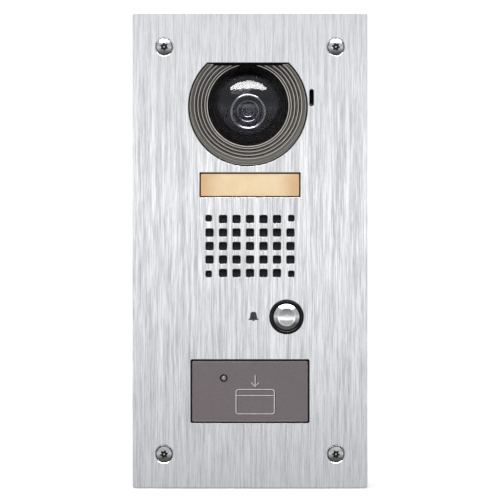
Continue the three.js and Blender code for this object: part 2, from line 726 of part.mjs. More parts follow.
const nameCard = slab(aroundNameplate(1), nameBack, chassisFront);
const lightGuide = slab(aroundNameplate(0), chassisFront, guideBack);
const [ledWidth, , ledHeight] = nameLight.led;
const nameLed = block(0, nameZ, ledWidth, ledHeight, ledFront, nameBoardFront);
const nameBoardBack = nameBoardFront + board.thickness;
const boardHeight = nameplate.height + 2;
const nameBoard = block(0, nameZ, nameLight.boardWidth, boardHeight, nameBoardFront, nameBoardBack);
add("name_window", nameWindowPane(), amberWindow);
const nameSeal = slab(aroundNameplate(nameplate.lap), plateBack, flangeFront, [aroundNameplate(0)]);
add("name_gasket", nameSeal, foam);
add("name_card", nameCard, card);
add("name_light_guide", lightGuide, clearPlastic);
add("name_led", nameLed, ledAmber);
add("name_light_board", nameBoard, boardGreen);

// ---------------------------------------------------------------- speaker and microphone

// Foam ring round the speaker, cut away where the microphone's boot stands.
function speakerGasket() {
  const foamRing = ring(0, grilleZ, speakerWindow, speaker.radius + speaker.lap, meshBack, chassisFront);
  return cut(foamRing, disc(micX, micZ, mic.boot + air, meshBack - past, chassisFront + past));
}

// Pressed steel basket: a flange, a cone down to the magnet and a floor that turns in behind it.
function speakerFrame() {
  const rim = speaker.radius - speaker.rim;
  const floor = speakerFront + basket.depth;
  const inner = magnet.pole + basket.floor;
  const section = [
    [rim, speakerFront],
    [speaker.radius, speakerFront],
    [speaker.radius, speakerFront + basket.flange],
    [speaker.radius - basket.step, speakerFront + basket.flange],
    [magnet.radius + 2 * basket.sheet, floor],
    [inner, floor],
    [inner, floor - basket.sheet],
    [magnet.radius + basket.sheet, floor - basket.sheet],
    [rim, speakerFront + basket.flange - basket.sheet / 2],
  ];
  return turned(section, 0, grilleZ);
}

// Paper cone with a domed cap in the middle and a rolled edge.
function speakerCone() {
  const front = speakerFront + air;
  const edge = speaker.radius - speaker.rim - air;
  const outside = [
    [0, front + cone.cap],
    [magnet.pole - cone.paper, front + cone.depth],
    [magnet.pole + 2 * cone.paper, front + cone.depth + 1],
    [edge - cone.roll, front + cone.paper],
    [edge - cone.roll / 2, front],
    [edge, front + cone.paper],
  ];
  const inside = outside.map(([r, y]) => [r, y + cone.paper]).reverse();
  return turned([...outside, ...inside], 0, grilleZ);
}

function speakerMagnet() {
  const front = speakerFront + basket.depth + magnet.gap;
  const section = [
    [0, front - magnet.poleHeight],
    [magnet.pole, front - magnet.poleHeight],
    [magnet.pole, front],
    [magnet.radius, front],
    [magnet.radius, front + magnet.depth],
    [0, front + magnet.depth],
  ];
  return turned(section, 0, grilleZ);
}

// Rubber boot that leads one small grille hole to the microphone.
function microphoneBoot() {
  const seat = meshBack + mic.bootWall;
  const back = meshBack + mic.bootDepth;
  const section = [
    [mic.hole, meshBack],
    [mic.boot, meshBack],
    [mic.boot, back],
    [mic.radius + air, back],
    [mic.radius + air, seat],
    [mic.hole, seat],
  ];
  return turned(section, micX, micZ, 16);
}

const meshWidth = 2 * (grilleHalfWidth + mesh.margin);
const meshHeight = 2 * (grilleHalfHeight + mesh.margin);
const micFront = meshBack + mic.bootWall + air;
add("acoustic_mesh", block(0, grilleZ, meshWidth, meshHeight, plateBack, meshBack), cloth);
add("speaker_gasket", speakerGasket(), foam);
add("speaker_frame", speakerFrame(), zinc);
add("speaker_cone", speakerCone(), paperCone);
add("speaker_magnet", speakerMagnet(), zinc);
add("microphone_boot", microphoneBoot(), rubber);
add("microphone", disc(micX, micZ, mic.radius, micFront, micFront + mic.length), zinc);

// ---------------------------------------------------------------- call button

function buttonBezel() {
  const outer = buttonOuter;
  const lip = buttonHole + button.lap;
  const front = plateFront - button.proud;
  const section = [
    [buttonBore, front + button.edge],
    [buttonBore + button.edge, front],
    [outer - button.edge, front],
    [outer, front + button.edge],
    [outer, flangeFront],
    [lip, flangeFront],
    [lip, chassisFront],
    [outer, chassisFront],
    [outer, buttonFloor],
    [stem.radius + air, buttonFloor],
    [stem.radius + air, springSeat],
    [buttonBore, springSeat],
  ];
  return turned(section, button.x, buttonZ);
}

function buttonCap() {
  const front = plateFront - cap.proud;
  const disc = cap.radius - cap.bevel;
  const groove = clipFront + stem.grooveLength;
  const section = [
    [0, front + cap.dish],
    [disc * 0.6, front + cap.dish * 0.64],
    [disc, front],
    [disc + cap.flat, front],
    [cap.radius, front + cap.chamfer],
    [cap.radius, capBase],
    [stem.radius, capBase],
    [stem.radius, clipFront],
    [stem.groove, clipFront],
    [stem.groove, groove],
    [stem.radius, groove],
    [stem.radius, stemEnd],
    [0, stemEnd],
  ];
  return turned(section, button.x, buttonZ);
}

class Helix extends THREE.Curve {
  getPoint(t) {
    const angle = 2 * Math.PI * spring.turns * t;
    const front = capBase + spring.wire + air;
    const back = springSeat - spring.wire - air;
    return new THREE.Vector3(
      button.x + springRadius * Math.cos(angle),
      front + (back - front) * t,
      buttonZ + springRadius * Math.sin(angle),
    );
  }
}

function buttonSpring() {
  return new THREE.ExtrudeGeometry(new THREE.Shape(circle(0, 0, spring.wire, 5)), {
    steps: 10 * spring.turns,
    bevelEnabled: false,
    extrudePath: new Helix(),
  });
}

function buttonClip() {
  const front = clipFront + (stem.grooveLength - clip.thickness) / 2;
  const inner = stem.groove + air / 2;
  return ring(button.x, buttonZ, inner, clip.radius, front, front + clip.thickness, 16);
}

function callSwitch() {
  const housing = block(button.x, buttonZ, call.size, call.size, switchFront, callBoardFront);
  const wellBack = switchFront + call.well;
  const well = disc(button.x, buttonZ, call.plunger + air, switchFront - past, wellBack);
  return cut(housing, well);
}

function switchPlunger() {
  const back = switchFront + call.well - call.travel - air / 2;
  return disc(button.x, buttonZ, call.plunger, plungerTip, back, 12);
}

function buttonBoard() {
  const back = callBoardFront + board.thickness;
  return block(button.x, buttonZ, callBoard.width, callBoard.height, callBoardFront, back);
}

function buttonGasket() {
  return ring(button.x, buttonZ, buttonHole, buttonHole + button.lap, plateBack, flangeFront);
}

add("button_bezel", buttonBezel(), blackPlastic);
add("button_gasket", buttonGasket(), rubber);
add("button_cap", buttonCap(), brightSteel);
add("button_spring", buttonSpring(), brightSteel);
add("button_clip", buttonClip(), brightSteel);
add("call_switch", callSwitch(), blackPlastic);
add("call_switch_plunger", switchPlunger(), blackPlastic);
add("call_board", buttonBoard(), boardGreen);

// ---------------------------------------------------------------- card reader

function aroundReader(grow, steps = 1) {
  return roundedRect(0, readerZ, reader.width + 2 * grow, reader.height + 2 * grow, reader.corner, steps);
}

const readerFront = plateFront + readerCover.recess;
const readerLedZ = readerZ + readerLed.above;

function readerWindow() {
  const c = readerCover.chamfer;
  const face = new THREE.ExtrudeGeometry(new THREE.Shape(aroundReader(-air - c, 2)), {
    depth: chassisFront - readerFront - c,
    bevelSize: c,
    bevelThickness: c,
    bevelSegments: 1,
  });
  face.rotateX(Math.PI / 2).translate(0, chassisFront, 0);
  const behind = slab(aroundReader(reader.height), chassisFront, chassisFront + 2 * c);
  const well = disc(
    readerLed.x, readerLedZ, readerLed.radius + air, readerFront - past, chassisFront + past,
  );
  return cut(join(face, slab(aroundReader(reader.lap), flangeFront, chassisFront)), behind, well);
}

// The sealed reader with the moulded boss that its lead comes out of.
function readerModule() {
  const { width, height, corner } = readerBody;
  const outline = roundedRect(0, readerZ, width, height, corner);
  const { radius, x, drop } = readerLead;
  const leadBack = readerBodyBack + readerLead.height;
  const lead = disc(x, readerZ - drop, radius, readerBodyBack - past, leadBack);
  return join(slab(outline, readerBodyFront, readerBodyBack), lead);
}

// Sheet steel strap over the back of the reader, with a foot on a stud at each side.
function readerStrap() {
  const inside = readerBody.width / 2 + strap.sideGap;
  const outside = inside + strap.thickness;
  const far = studX + strap.foot;
  const crown = readerBodyBack + air;
  const foot = strap.footY;
  const sheet = strap.thickness;
  const front = [[far, foot], [inside, foot], [inside, crown]];
  const back = [[outside, crown + sheet], [outside, foot + sheet], [far, foot + sheet]];
  const mirrored = (points) => points.map(([x, y]) => [-x, y]).reverse();
  const points = [...front, ...mirrored(front), ...mirrored(back), ...back];
  const outline = points.map(([x, y]) => new THREE.Vector2(x, y));
  // The outline is drawn in x and y, and the strap's width runs along z.
  const hat = new THREE.ExtrudeGeometry(new THREE.Shape(outline), {
    depth: strap.height,
    bevelEnabled: false,
  });
  hat.translate(0, 0, readerZ - strap.height / 2);
  const holes = [-studX, studX].map((x) =>
    disc(x, readerZ, stud.radius + air, foot - past, foot + sheet + past, 12),
  );
  return cut(hat, ...holes);
}

function hexNut(x, z, front) {
  const bore = disc(x, z, stud.radius + air / 2, front - past, front + nut.height + past, 10);
  return cut(disc(x, z, nut.radius, front, front + nut.height, 6), bore);
}

const readerLight = disc(readerLed.x, readerLedZ, readerLed.radius, readerFront, chassisFront);
add("reader_cover", readerWindow(), readerPlastic);
const readerSeal = slab(aroundReader(reader.lap), plateBack, flangeFront, [aroundReader(0)]);
add("reader_gasket", readerSeal, foam);
add("reader_module", readerModule(), blackPlastic);
add("reader_led", readerLight, clearPlastic);
add("reader_strap", readerStrap(), zinc);
for (const [side, x] of [["left", -studX], ["right", studX]]) {
  add(`reader_nut_${side}`, hexNut(x, readerZ, strap.footY + strap.thickness), zinc);
}

// ---------------------------------------------------------------- chassis, boards and cover

// Moulded tray behind the faceplate, with its posts for the boards, speaker and camera bracket.
function chassisTray() {
  const tray = cut(
    slab(chassisOutline(0), chassisFront, coverFront),
    slab(chassisOutline(chassis.wall), chassisFloor, coverFront + past),
  );
  const pillar = (x, z, radius, back) => disc(x, z, radius, chassisFront, back, 8);
  const pillars = [
    ...bossSpots.map(([, x, z]) => pillar(x, z, boss.radius, coverFront)),
    ...postSpots.map(([x, z]) => pillar(x, z, post.radius, boardFront)),
    ...[-1, 1].flatMap((side) => [
      pillar(side * nameLight.postX, nameZ, post.radius, nameBoardFront),
      pillar(button.x + side * (callBoard.width / 2 - post.radius), buttonZ, post.radius, callBoardFront),
    ]),
    ...stakeSpots.map(([x, z]) => pillar(x, z, stake.radius, bracketBack + stake.height)),
  ];
  const seatInner = speaker.radius + air;
  const seatBack = chassisFloor + speakerSeat.depth;
  const seat = ring(0, grilleZ, seatInner, seatInner + speakerSeat.wall, chassisFront, seatBack);
  const leverWidth = slot.width + 2 * clear.lever;
  const leverHeight = slotHeight + 2 * clear.lever;
  const window = (x, z, radius, steps) =>
    disc(x, z, radius, chassisFront - past, chassisFloor + past / 2, steps);
  const windows = [
    window(camera.x, cameraZ, neckRadius + air, 24),
    window(0, grilleZ, speakerWindow, 20),
    window(button.x, buttonZ, buttonHole, 20),
    slab(aroundNameplate(air), chassisFront - past, chassisFloor + past),
    disc(micX, micZ, mic.boot + air, chassisFront - past, seatBack + past, 16),
    block(slotX, slotZ, leverWidth, leverHeight, chassisFront - past, chassisFloor + past),
    ...studSpots.map(([, x, z]) => window(x, z, stud.radius + air, 10)),
    ...bossSpots.map(([, x, z]) =>
      disc(x, z, coverScrew.radius + air, coverFront - coverScrew.length - past, coverFront + past, 8),
    ),
  ];
  return cut(join(tray, ...pillars, seat), ...windows);
}

function mainBoard() {
  const height = boardTop - boardBottom;
  return block(0, boardBottom + height / 2, 2 * board.halfWidth, height, boardFront, boardBack);
}

// Screw terminals: a wire entry from below and a clamp screw from behind for each way.
function terminalBlock() {
  const { hole, entry, entryDepth, screw: clamp, screwDepth, screwUp } = terminalWay;
  const back = coverBack + terminal.proud;
  const body = block(0, terminalZ, terminal.width, terminal.height, boardBack, back);
  const pitch = terminal.width / terminal.ways;
  const entryZ = terminalZ - terminal.height / 2 - past + entry / 2;
  const entryY = back - entryDepth;
  const tools = Array.from({ length: terminal.ways }, (_, i) => {
    const x = (i - (terminal.ways - 1) / 2) * pitch;
    return [
      block(x, entryZ, hole, entry, entryY - hole / 2, entryY + hole / 2),
      disc(x, terminalZ + screwUp, clamp, back - screwDepth, back + past, 8),
    ];
  });
  return cut(body, ...tools.flat());
}

function volumePot() {
  const back = boardBack + volume.height;
  const body = block(volume.x, volumeZ, volume.size, volume.size, boardBack, back);
  const well = disc(volume.x, volumeZ, volume.radius + air, boardBack + volume.floor, back + past, 14);
  return cut(body, well);
}

// Screwdriver dial that sets the volume through a hole in the rear cover.
function volumeDial() {
  const back = coverFront + cover.thickness / 2;
  const rotor = disc(volume.x, volumeZ, volume.radius, boardBack + volume.floor + air, back, 14);
  const slit = block(volume.x, volumeZ, 2 * volume.radius + past, volume.slit, back - 1, back + past);
  return cut(rotor, slit);
}

function rearCover() {
  const lid = slab(chassisOutline(0), coverFront, coverBack);
  const [postFront, postBack] = [boardBack + cover.play, coverBack - cover.thickness / 2];
  const posts = postSpots.map(([x, z]) => disc(x, z, post.radius, postFront, postBack));
  const windowWidth = terminal.width + 2 * terminal.gap;
  const windowHeight = terminal.height + 2 * terminal.gap;
  const through = (x, z, radius, steps) => disc(x, z, radius, coverFront - past, coverBack + past, steps);
  const tools = [
    block(0, terminalZ, windowWidth, windowHeight, coverFront - past, coverBack + past),
    through(volume.x, volumeZ, volume.radius + 2 * air, 14),
    ...bossSpots.map(([, x, z]) => through(x, z, coverScrew.radius + air, 10)),
  ];
  return cut(join(lid, ...posts), ...tools);
}

function rearCoverScrew(x, z) {
  const { radius, head, headHeight, length, edge } = coverScrew;
  const back = coverBack + headHeight;
  const section = [
    [0, back],
    [head - edge, back],
    [head, back - edge],
    [head, coverBack],
    [radius, coverBack],
    [radius, coverFront - length + 1],
    [0, coverFront - length],
  ];
  const bars = [
    block(0, 0, cross.length, cross.width, back - cross.depth, back + past),
    block(0, 0, cross.width, cross.length, back - cross.depth, back + past),
  ];
  return cut(turned(section, 0, 0, 12), ...bars).translate(x, 0, z);
}

add("chassis", chassisTray(), blackPlastic);
for (const [name, x, z] of studSpots) {
  add(`chassis_nut_${name}`, hexNut(x, z, chassisFloor), zinc);
}
add("main_board", mainBoard(), boardGreen);
add("terminal_block", terminalBlock(), terminalGreen);
add("volume_pot", volumePot(), blackPlastic);
add("volume_dial", volumeDial(), clearPlastic);
add("rear_cover", rearCover(), blackPlastic);
for (const [name, x, z] of bossSpots) {
  add(`rear_cover_screw_${name}`, rearCoverScrew(x, z), zinc);
}

export default panel;
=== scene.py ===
"""Door intercom panel: the finished look of its pieces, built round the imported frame."""

import json
import math

import bmesh
import bpy
from bpy.props import FloatProperty, FloatVectorProperty, IntProperty, PointerProperty
from mathutils import Matrix, Vector


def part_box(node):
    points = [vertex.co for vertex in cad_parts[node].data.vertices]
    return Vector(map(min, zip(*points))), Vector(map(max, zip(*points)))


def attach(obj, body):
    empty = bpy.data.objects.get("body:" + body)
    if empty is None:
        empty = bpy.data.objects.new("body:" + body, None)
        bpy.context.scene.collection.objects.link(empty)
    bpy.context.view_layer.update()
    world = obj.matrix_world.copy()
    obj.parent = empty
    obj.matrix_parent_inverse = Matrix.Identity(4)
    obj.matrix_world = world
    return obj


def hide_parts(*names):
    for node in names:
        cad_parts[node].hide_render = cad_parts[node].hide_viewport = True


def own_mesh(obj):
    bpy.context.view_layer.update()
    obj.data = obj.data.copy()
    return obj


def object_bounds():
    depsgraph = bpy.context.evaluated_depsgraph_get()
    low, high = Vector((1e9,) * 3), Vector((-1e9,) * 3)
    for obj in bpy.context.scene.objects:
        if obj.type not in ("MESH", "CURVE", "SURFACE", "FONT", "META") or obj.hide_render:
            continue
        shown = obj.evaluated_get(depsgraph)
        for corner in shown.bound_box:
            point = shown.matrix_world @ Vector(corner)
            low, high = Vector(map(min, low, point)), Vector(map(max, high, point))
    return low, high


bl_info = {
    "name": "Door Intercom Panel",
    "version": (1, 0, 0),
    "blender": (4, 5, 0),
    "location": "3D View > Sidebar > Door Panel",
    "description": "Builds the pieces and finishes of a flush-mounted door intercom panel",
    "category": "Add Mesh",
}

MM = 0.001
FULL_TURN = 2 * math.pi

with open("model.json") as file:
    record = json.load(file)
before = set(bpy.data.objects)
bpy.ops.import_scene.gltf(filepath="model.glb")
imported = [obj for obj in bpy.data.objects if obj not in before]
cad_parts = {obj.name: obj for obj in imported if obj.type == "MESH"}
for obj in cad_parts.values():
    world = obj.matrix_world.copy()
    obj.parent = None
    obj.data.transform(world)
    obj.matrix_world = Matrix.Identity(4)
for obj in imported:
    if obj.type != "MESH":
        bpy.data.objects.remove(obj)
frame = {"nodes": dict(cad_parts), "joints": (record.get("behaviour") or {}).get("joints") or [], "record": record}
frame_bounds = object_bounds()


# ------------------------------------------------------------ places taken from the frame


def box_mm(node_name):
    """Lowest and highest corner of a frame node, in millimetres."""
    low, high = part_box(node_name)
    return low / MM, high / MM


def middle_mm(node_name):
    """Middle of a frame node, in millimetres."""
    low, high = box_mm(node_name)
    return (low + high) / 2


PLATE_LOW, PLATE_HIGH = box_mm("faceplate")
PLATE_FRONT = PLATE_LOW.y
GASKET_LOW, GASKET_HIGH = box_mm("wall_gasket")
PLATE_BACK = GASKET_LOW.y
BOX_LOW, BOX_HIGH = box_mm("back_box")
BEZEL_LOW, BEZEL_HIGH = box_mm("camera_bezel")
DOME = middle_mm("camera_dome")
NAME = middle_mm("name_window")
NAME_LOW, NAME_HIGH = box_mm("name_window")
GRILLE = middle_mm("acoustic_mesh")
BUTTON = middle_mm("button_bezel")
CAP_LOW, CAP_HIGH = box_mm("button_cap")
RING_LOW, RING_HIGH = box_mm("button_bezel")
READER = middle_mm("reader_cover")
READER_LOW = box_mm("reader_cover")[0]
READER_LAMP = middle_mm("reader_led")
GROMMET = middle_mm("cable_grommet")
GROMMET_LOW, GROMMET_HIGH = box_mm("cable_grommet")
TILT_JOINT = next(joint for joint in frame["joints"] if joint["name"] == "camera_tilt")
PIVOT = Vector(TILT_JOINT["pos_m"]) / MM
LOOK_DOWN = math.radians(10)
SLOTS = {part["node"]: part["material_slot"] for part in frame["record"]["subparts"]}
SCREW_NODES = (
    "mounting_screw_top_left",
    "mounting_screw_top_right",
    "mounting_screw_bottom_left",
    "mounting_screw_bottom_right",
)
FLANGE_LAP = 1.6  # how far the bezel and the name window lap behind the plate
NAME_HOLE = (57.9, 14.1)
READER_HOLE = (68.3, 36.5)
BUTTON_HOLE_RADIUS = 9.85
LEVER_SLOT_WIDTH, LEVER_SLOT_HEIGHT = 2.4, 9.9
LEVER_SLOT_X = box_mm("tilt_lever")[1].x - 0.9
LEVER_SLOT_Z = PIVOT.z - 1.05 + LEVER_SLOT_HEIGHT / 2
LENS_FRONT = -22.2  # the camera head's parts are drawn round the pivot, lens along -y
HEAD_BACK = -6.0
PRINT = 0.03  # half the thickness of printed ink
CHASSIS_STUDS = (
    "chassis_nut_upper_left",
    "chassis_nut_upper_right",
    "chassis_nut_lower_left",
    "chassis_nut_lower_right",
    "reader_nut_left",
    "reader_nut_right",
)


# ------------------------------------------------------------ outlines, in millimetres


def arc_points(x, z, radius, start, end, steps):
    turns = [start + (end - start) * i / steps for i in range(steps + 1)]
    return [(x + radius * math.cos(t), z + radius * math.sin(t)) for t in turns]


def circle_points(x, z, radius, steps=96):
    return arc_points(x, z, radius, 0, FULL_TURN, steps)[:-1]


def rounded_rectangle(x, z, width, height, radius, steps=5):
    half_width = width / 2 - radius
    half_height = height / 2 - radius
    quarter = math.pi / 2
    corners = ((1, 1), (-1, 1), (-1, -1), (1, -1))
    points = []
    for turn, (side_x, side_z) in enumerate(corners):
        centre = (x + side_x * half_width, z + side_z * half_height)
        points += arc_points(*centre, radius, turn * quarter, (turn + 1) * quarter, steps)
    return points


def upright_slot(x, z, width, height, steps=10):
    reach = (height - width) / 2
    top = arc_points(x, z + reach, width / 2, 0, math.pi, steps)
    bottom = arc_points(x, z - reach, width / 2, math.pi, FULL_TURN, steps)
    return top + bottom


def flat_topped_circle(x, z, radius, flat, steps=120):
    corner = math.asin(flat / radius)
    return arc_points(x, z, radius, math.pi - corner, FULL_TURN + corner, steps)


def star_points(lobes, outer, inner, steps=6):
    """Six-lobed drive recess with rounded lobes."""
    points = []
    count = lobes * 2 * steps
    for i in range(count):
        turn = FULL_TURN * i / count
        swell = (1 + math.cos(lobes * turn)) / 2
        radius = inner + (outer - inner) * swell
        points.append((radius * math.cos(turn), radius * math.sin(turn)))
    return points


# ------------------------------------------------------------ shapes


def link_object(name, data):
    made = bpy.data.objects.new(name, data)
    bpy.context.scene.collection.objects.link(made)
    return made


def mesh_from(bm, name="shape"):
    mesh = bpy.data.meshes.new(name)
    bm.to_mesh(mesh)
    bm.free()
    return mesh


def tidy_mesh(mesh, distance=0.001):
    """Merges doubled points and turns every face outwards."""
    bm = bmesh.new()
    bm.from_mesh(mesh)
    bmesh.ops.remove_doubles(bm, verts=bm.verts, dist=distance * MM)
    bmesh.ops.dissolve_degenerate(bm, edges=bm.edges, dist=distance * MM / 10)
    flat = math.radians(0.2)
    bmesh.ops.dissolve_limit(bm, angle_limit=flat, verts=bm.verts, edges=bm.edges)
    bmesh.ops.recalc_face_normals(bm, faces=bm.faces)
    bm.to_mesh(mesh)
    bm.free()
    return mesh


def mesh_of_curve(curve):
    """Mesh of a bevelled curve. The curve itself is removed."""
    holder = link_object("outline", curve)
    graph = bpy.context.evaluated_depsgraph_get()
    mesh = bpy.data.meshes.new_from_object(holder.evaluated_get(graph))
    bpy.data.objects.remove(holder)
    bpy.data.curves.remove(curve)
    return mesh


def sheet_mesh(loops, front, back, edge=0.2, rounding=1):
    """Flat sheet with holes, from its outlines, with a small radius on every edge."""
    curve = bpy.data.curves.new("outline", "CURVE")
    curve.dimensions = "2D"
    curve.fill_mode = "BOTH"
    curve.extrude = ((back - front) / 2 - edge) * MM
    curve.bevel_depth = edge * MM
    curve.bevel_resolution = rounding
    curve.offset = -edge * MM
    for loop in loops:
        spline = curve.splines.new("POLY")
        spline.points.add(len(loop) - 1)
        for point, (x, z) in zip(spline.points, loop):
            point.co = (x * MM, z * MM, 0, 1)
        spline.use_cyclic_u = True
    mesh = mesh_of_curve(curve)
    upright = Matrix.Rotation(math.radians(90), 4, "X")
    mesh.transform(Matrix.Translation((0, (front + back) / 2 * MM, 0)) @ upright)
    return tidy_mesh(mesh)


def soften_edges(bm, width, segments=2, sharper_than=28):
    limit = math.radians(sharper_than)
    sharp = [e for e in bm.edges if len(e.link_faces) == 2 and e.calc_face_angle() > limit]
    if sharp:
        bmesh.ops.bevel(
            bm,
            geom=sharp,
            offset=width * MM,
            offset_type="OFFSET",
            segments=segments,
            profile=0.5,
            affect="EDGES",
            clamp_overlap=True,
            material=-1,
        )
    return bm


def spun_bmesh(profile, segments=96, closed=True):
    """Turned shape round the y axis, from (radius, y) points in millimetres."""
    bm = bmesh.new()
    points = [bm.verts.new((radius * MM, y * MM, 0)) for radius, y in profile]
    pairs = list(zip(points, points[1:]))
    if closed:
        pairs.append((points[-1], points[0]))
    edges = [bm.edges.new(pair) for pair in pairs]
    bmesh.ops.spin(
        bm,
        geom=points + edges,
        cent=(0, 0, 0),
        axis=(0, 1, 0),
        dvec=(0, 0, 0),
        angle=FULL_TURN,
        steps=segments,
        use_merge=True,
        use_duplicate=False,
    )
    bmesh.ops.remove_doubles(bm, verts=bm.verts, dist=MM / 2000)
    flat = [face for face in bm.faces if face.calc_area() < 1e-14]
    bmesh.ops.delete(bm, geom=flat, context="FACES")
    bmesh.ops.recalc_face_normals(bm, faces=bm.faces)
    return bm


def spun_mesh(profile, x=0.0, z=0.0, segments=96, closed=True):
    mesh = mesh_from(spun_bmesh(profile, segments, closed))
    mesh.transform(Matrix.Translation((x * MM, 0, z * MM)))
    return mesh


def joined_mesh(meshes):
    bm = bmesh.new()
    for mesh in meshes:
        bm.from_mesh(mesh)
        bpy.data.meshes.remove(mesh)
    return mesh_from(bm)


def carved(mesh, tool, operation="DIFFERENCE"):
    """The mesh cut by, or joined with, the tool mesh."""
    body = link_object("carved_body", mesh)
    cutter = link_object("carving_tool", tool)
    modifier = body.modifiers.new("carve", "BOOLEAN")
    modifier.operation = operation
    modifier.solver = "EXACT"
    modifier.object = cutter
    graph = bpy.context.evaluated_depsgraph_get()
    result = bpy.data.meshes.new_from_object(body.evaluated_get(graph))
    bpy.data.objects.remove(body)
    bpy.data.objects.remove(cutter)
    bpy.data.meshes.remove(mesh)
    bpy.data.meshes.remove(tool)
    return tidy_mesh(result)


def block_mesh(low, high, soften=0.0, rounding=2):
    """Block between two corners in millimetres, with softened edges."""
    bm = bmesh.new()
    bmesh.ops.create_cube(bm, size=1)
    size = Vector(high) - Vector(low)
    bmesh.ops.scale(bm, verts=bm.verts, vec=size * MM)
    bmesh.ops.translate(bm, verts=bm.verts, vec=(Vector(low) + Vector(high)) / 2 * MM)
    if soften:
        soften_edges(bm, soften, rounding)
    return mesh_from(bm)


def softened_copy(node_name, width, sharper_than=35):
    """Copy of a frame node with its sharp edges rounded a little."""
    bm = bmesh.new()
    bm.from_mesh(frame["nodes"][node_name].data)
    bmesh.ops.remove_doubles(bm, verts=bm.verts, dist=MM / 500)
    bmesh.ops.dissolve_limit(
        bm,
        angle_limit=math.radians(1),
        verts=bm.verts,
        edges=bm.edges,
        delimit=set(),
    )
    soften_edges(bm, width, 2, sharper_than)
    return mesh_from(bm)


def finish_piece(name, mesh, finish, body="housing", replaces=None, smooth=26):
    """Puts a mesh in the model with its finish. The slot has the finish's name."""
    mesh.name = name
    mesh.materials.clear()
    mesh.materials.append(finish_for(finish))
    mesh.shade_smooth()
    mesh.set_sharp_from_angle(angle=math.radians(smooth))
    piece = link_object(name, mesh)
    weighted = piece.modifiers.new("face_weights", "WEIGHTED_NORMAL")
    weighted.keep_sharp = True
    weighted.weight = 80
    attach(piece, body)
    if replaces:
        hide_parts(replaces)
    return piece


# ------------------------------------------------------------ node helpers


def add_node(tree, kind, inputs=None, **settings):
    made = tree.nodes.new(kind)
    for key, value in settings.items():
        setattr(made, key, value)
    for key, value in (inputs or {}).items():
        if isinstance(value, bpy.types.NodeSocket):
            tree.links.new(value, made.inputs[key])
        else:
            made.inputs[key].default_value = value
    return made


def math_node(tree, operation, first, second=0.0, clamp=False):
    inputs = {0: first, 1: second}
    made = add_node(tree, "ShaderNodeMath", inputs, operation=operation, use_clamp=clamp)
    return made.outputs[0]


def scaled(tree, value, from_low, from_high, to_low=0.0, to_high=1.0):
    inputs = {0: value, 1: from_low, 2: from_high, 3: to_low, 4: to_high}
    made = add_node(tree, "ShaderNodeMapRange", inputs, interpolation_type="SMOOTHSTEP")
    return made.outputs[0]


def rgba(colour):
    return (colour[0], colour[1], colour[2], 1.0)


def mixed_colour(tree, factor, *colours):
    """Mix of two colours, each a socket or three numbers."""
    first, second = (c if isinstance(c, bpy.types.NodeSocket) else rgba(c) for c in colours)
    inputs = {0: factor, 6: first, 7: second}
    return add_node(tree, "ShaderNodeMix", inputs, data_type="RGBA").outputs[2]


def object_place(tree):
    return add_node(tree, "ShaderNodeTexCoord").outputs["Object"]


def object_parts(tree):
    return add_node(tree, "ShaderNodeSeparateXYZ", {0: object_place(tree)}).outputs


def noise_node(tree, place, scale, detail, **more):
    inputs = {"Vector": place, "Scale": scale, "Detail": detail, **more}
    return add_node(tree, "ShaderNodeTexNoise", inputs).outputs[0]


def squared_distance(tree, x, z, centre_x, centre_z):
    """Square of the distance from a line along y."""
    off_x = math_node(tree, "SUBTRACT", x, centre_x)
    off_z = math_node(tree, "SUBTRACT", z, centre_z)
    across = math_node(tree, "MULTIPLY", off_x, off_x)
    upward = math_node(tree, "MULTIPLY", off_z, off_z)
    return math_node(tree, "ADD", across, upward)


def new_group(name, inputs, outputs):
    """Empty shader group with named inputs and outputs."""
    group = bpy.data.node_groups.new(name, "ShaderNodeTree")
    for label, default in inputs:
        socket = group.interface.new_socket(
            name=label, in_out="INPUT", socket_type="NodeSocketFloat"
        )
        socket.default_value = default
    for label in outputs:
        group.interface.new_socket(
            name=label, in_out="OUTPUT", socket_type="NodeSocketFloat"
        )
    start = group.nodes.new("NodeGroupInput")
    end = group.nodes.new("NodeGroupOutput")
    return group, start.outputs, end.inputs


def use_group(tree, name, **values):
    made = tree.nodes.new("ShaderNodeGroup")
    made.node_tree = GROUPS[name]()
    for key, value in values.items():
        made.inputs[key.replace("_", " ").title()].default_value = value
    return made.outputs


def once(builder):
    """Builds a node group the first time that it is asked for."""
    kept = {}

    def found():
        if "group" not in kept:
            kept["group"] = builder()
        return kept["group"]

    return found


# ------------------------------------------------------------ surface effects as node groups


def streaks_group():
    """Long upright hairlines, as an abrasive belt leaves them."""
    inputs = (("Width", 0.0008), ("Length", 0.06), ("Contrast", 1.0))
    group, given, wanted = new_group("Belt Streaks", inputs, ("Mask", "Height"))
    place = object_place(group)
    across = math_node(group, "DIVIDE", 1.0, given["Width"])
    along = math_node(group, "DIVIDE", 1.0, given["Length"])
    stretch = add_node(
        group, "ShaderNodeCombineXYZ", {"X": across, "Y": along, "Z": along}
    ).outputs[0]
    stretched = add_node(
        group, "ShaderNodeVectorMath", {0: place, 1: stretch}, operation="MULTIPLY"
    ).outputs[0]
    fine = noise_node(group, stretched, 1.0, 4.0, Roughness=0.72)
    broad = noise_node(group, stretched, 0.17, 2.0, Roughness=0.5)
    both = math_node(group, "MULTIPLY_ADD", fine, 0.72)
    both.node.inputs[2].default_value = 0.0
    blend = math_node(group, "MULTIPLY_ADD", broad, 0.28)
    group.links.new(both, blend.node.inputs[2])
    centred = math_node(group, "SUBTRACT", blend, 0.5)
    spread = math_node(group, "MULTIPLY", centred, given["Contrast"])
    mask = math_node(group, "MULTIPLY_ADD", spread, 2.6)
    mask.node.inputs[2].default_value = 0.5
    mask.node.use_clamp = True
    group.links.new(mask, wanted["Mask"])
    group.links.new(fine, wanted["Height"])
    return group


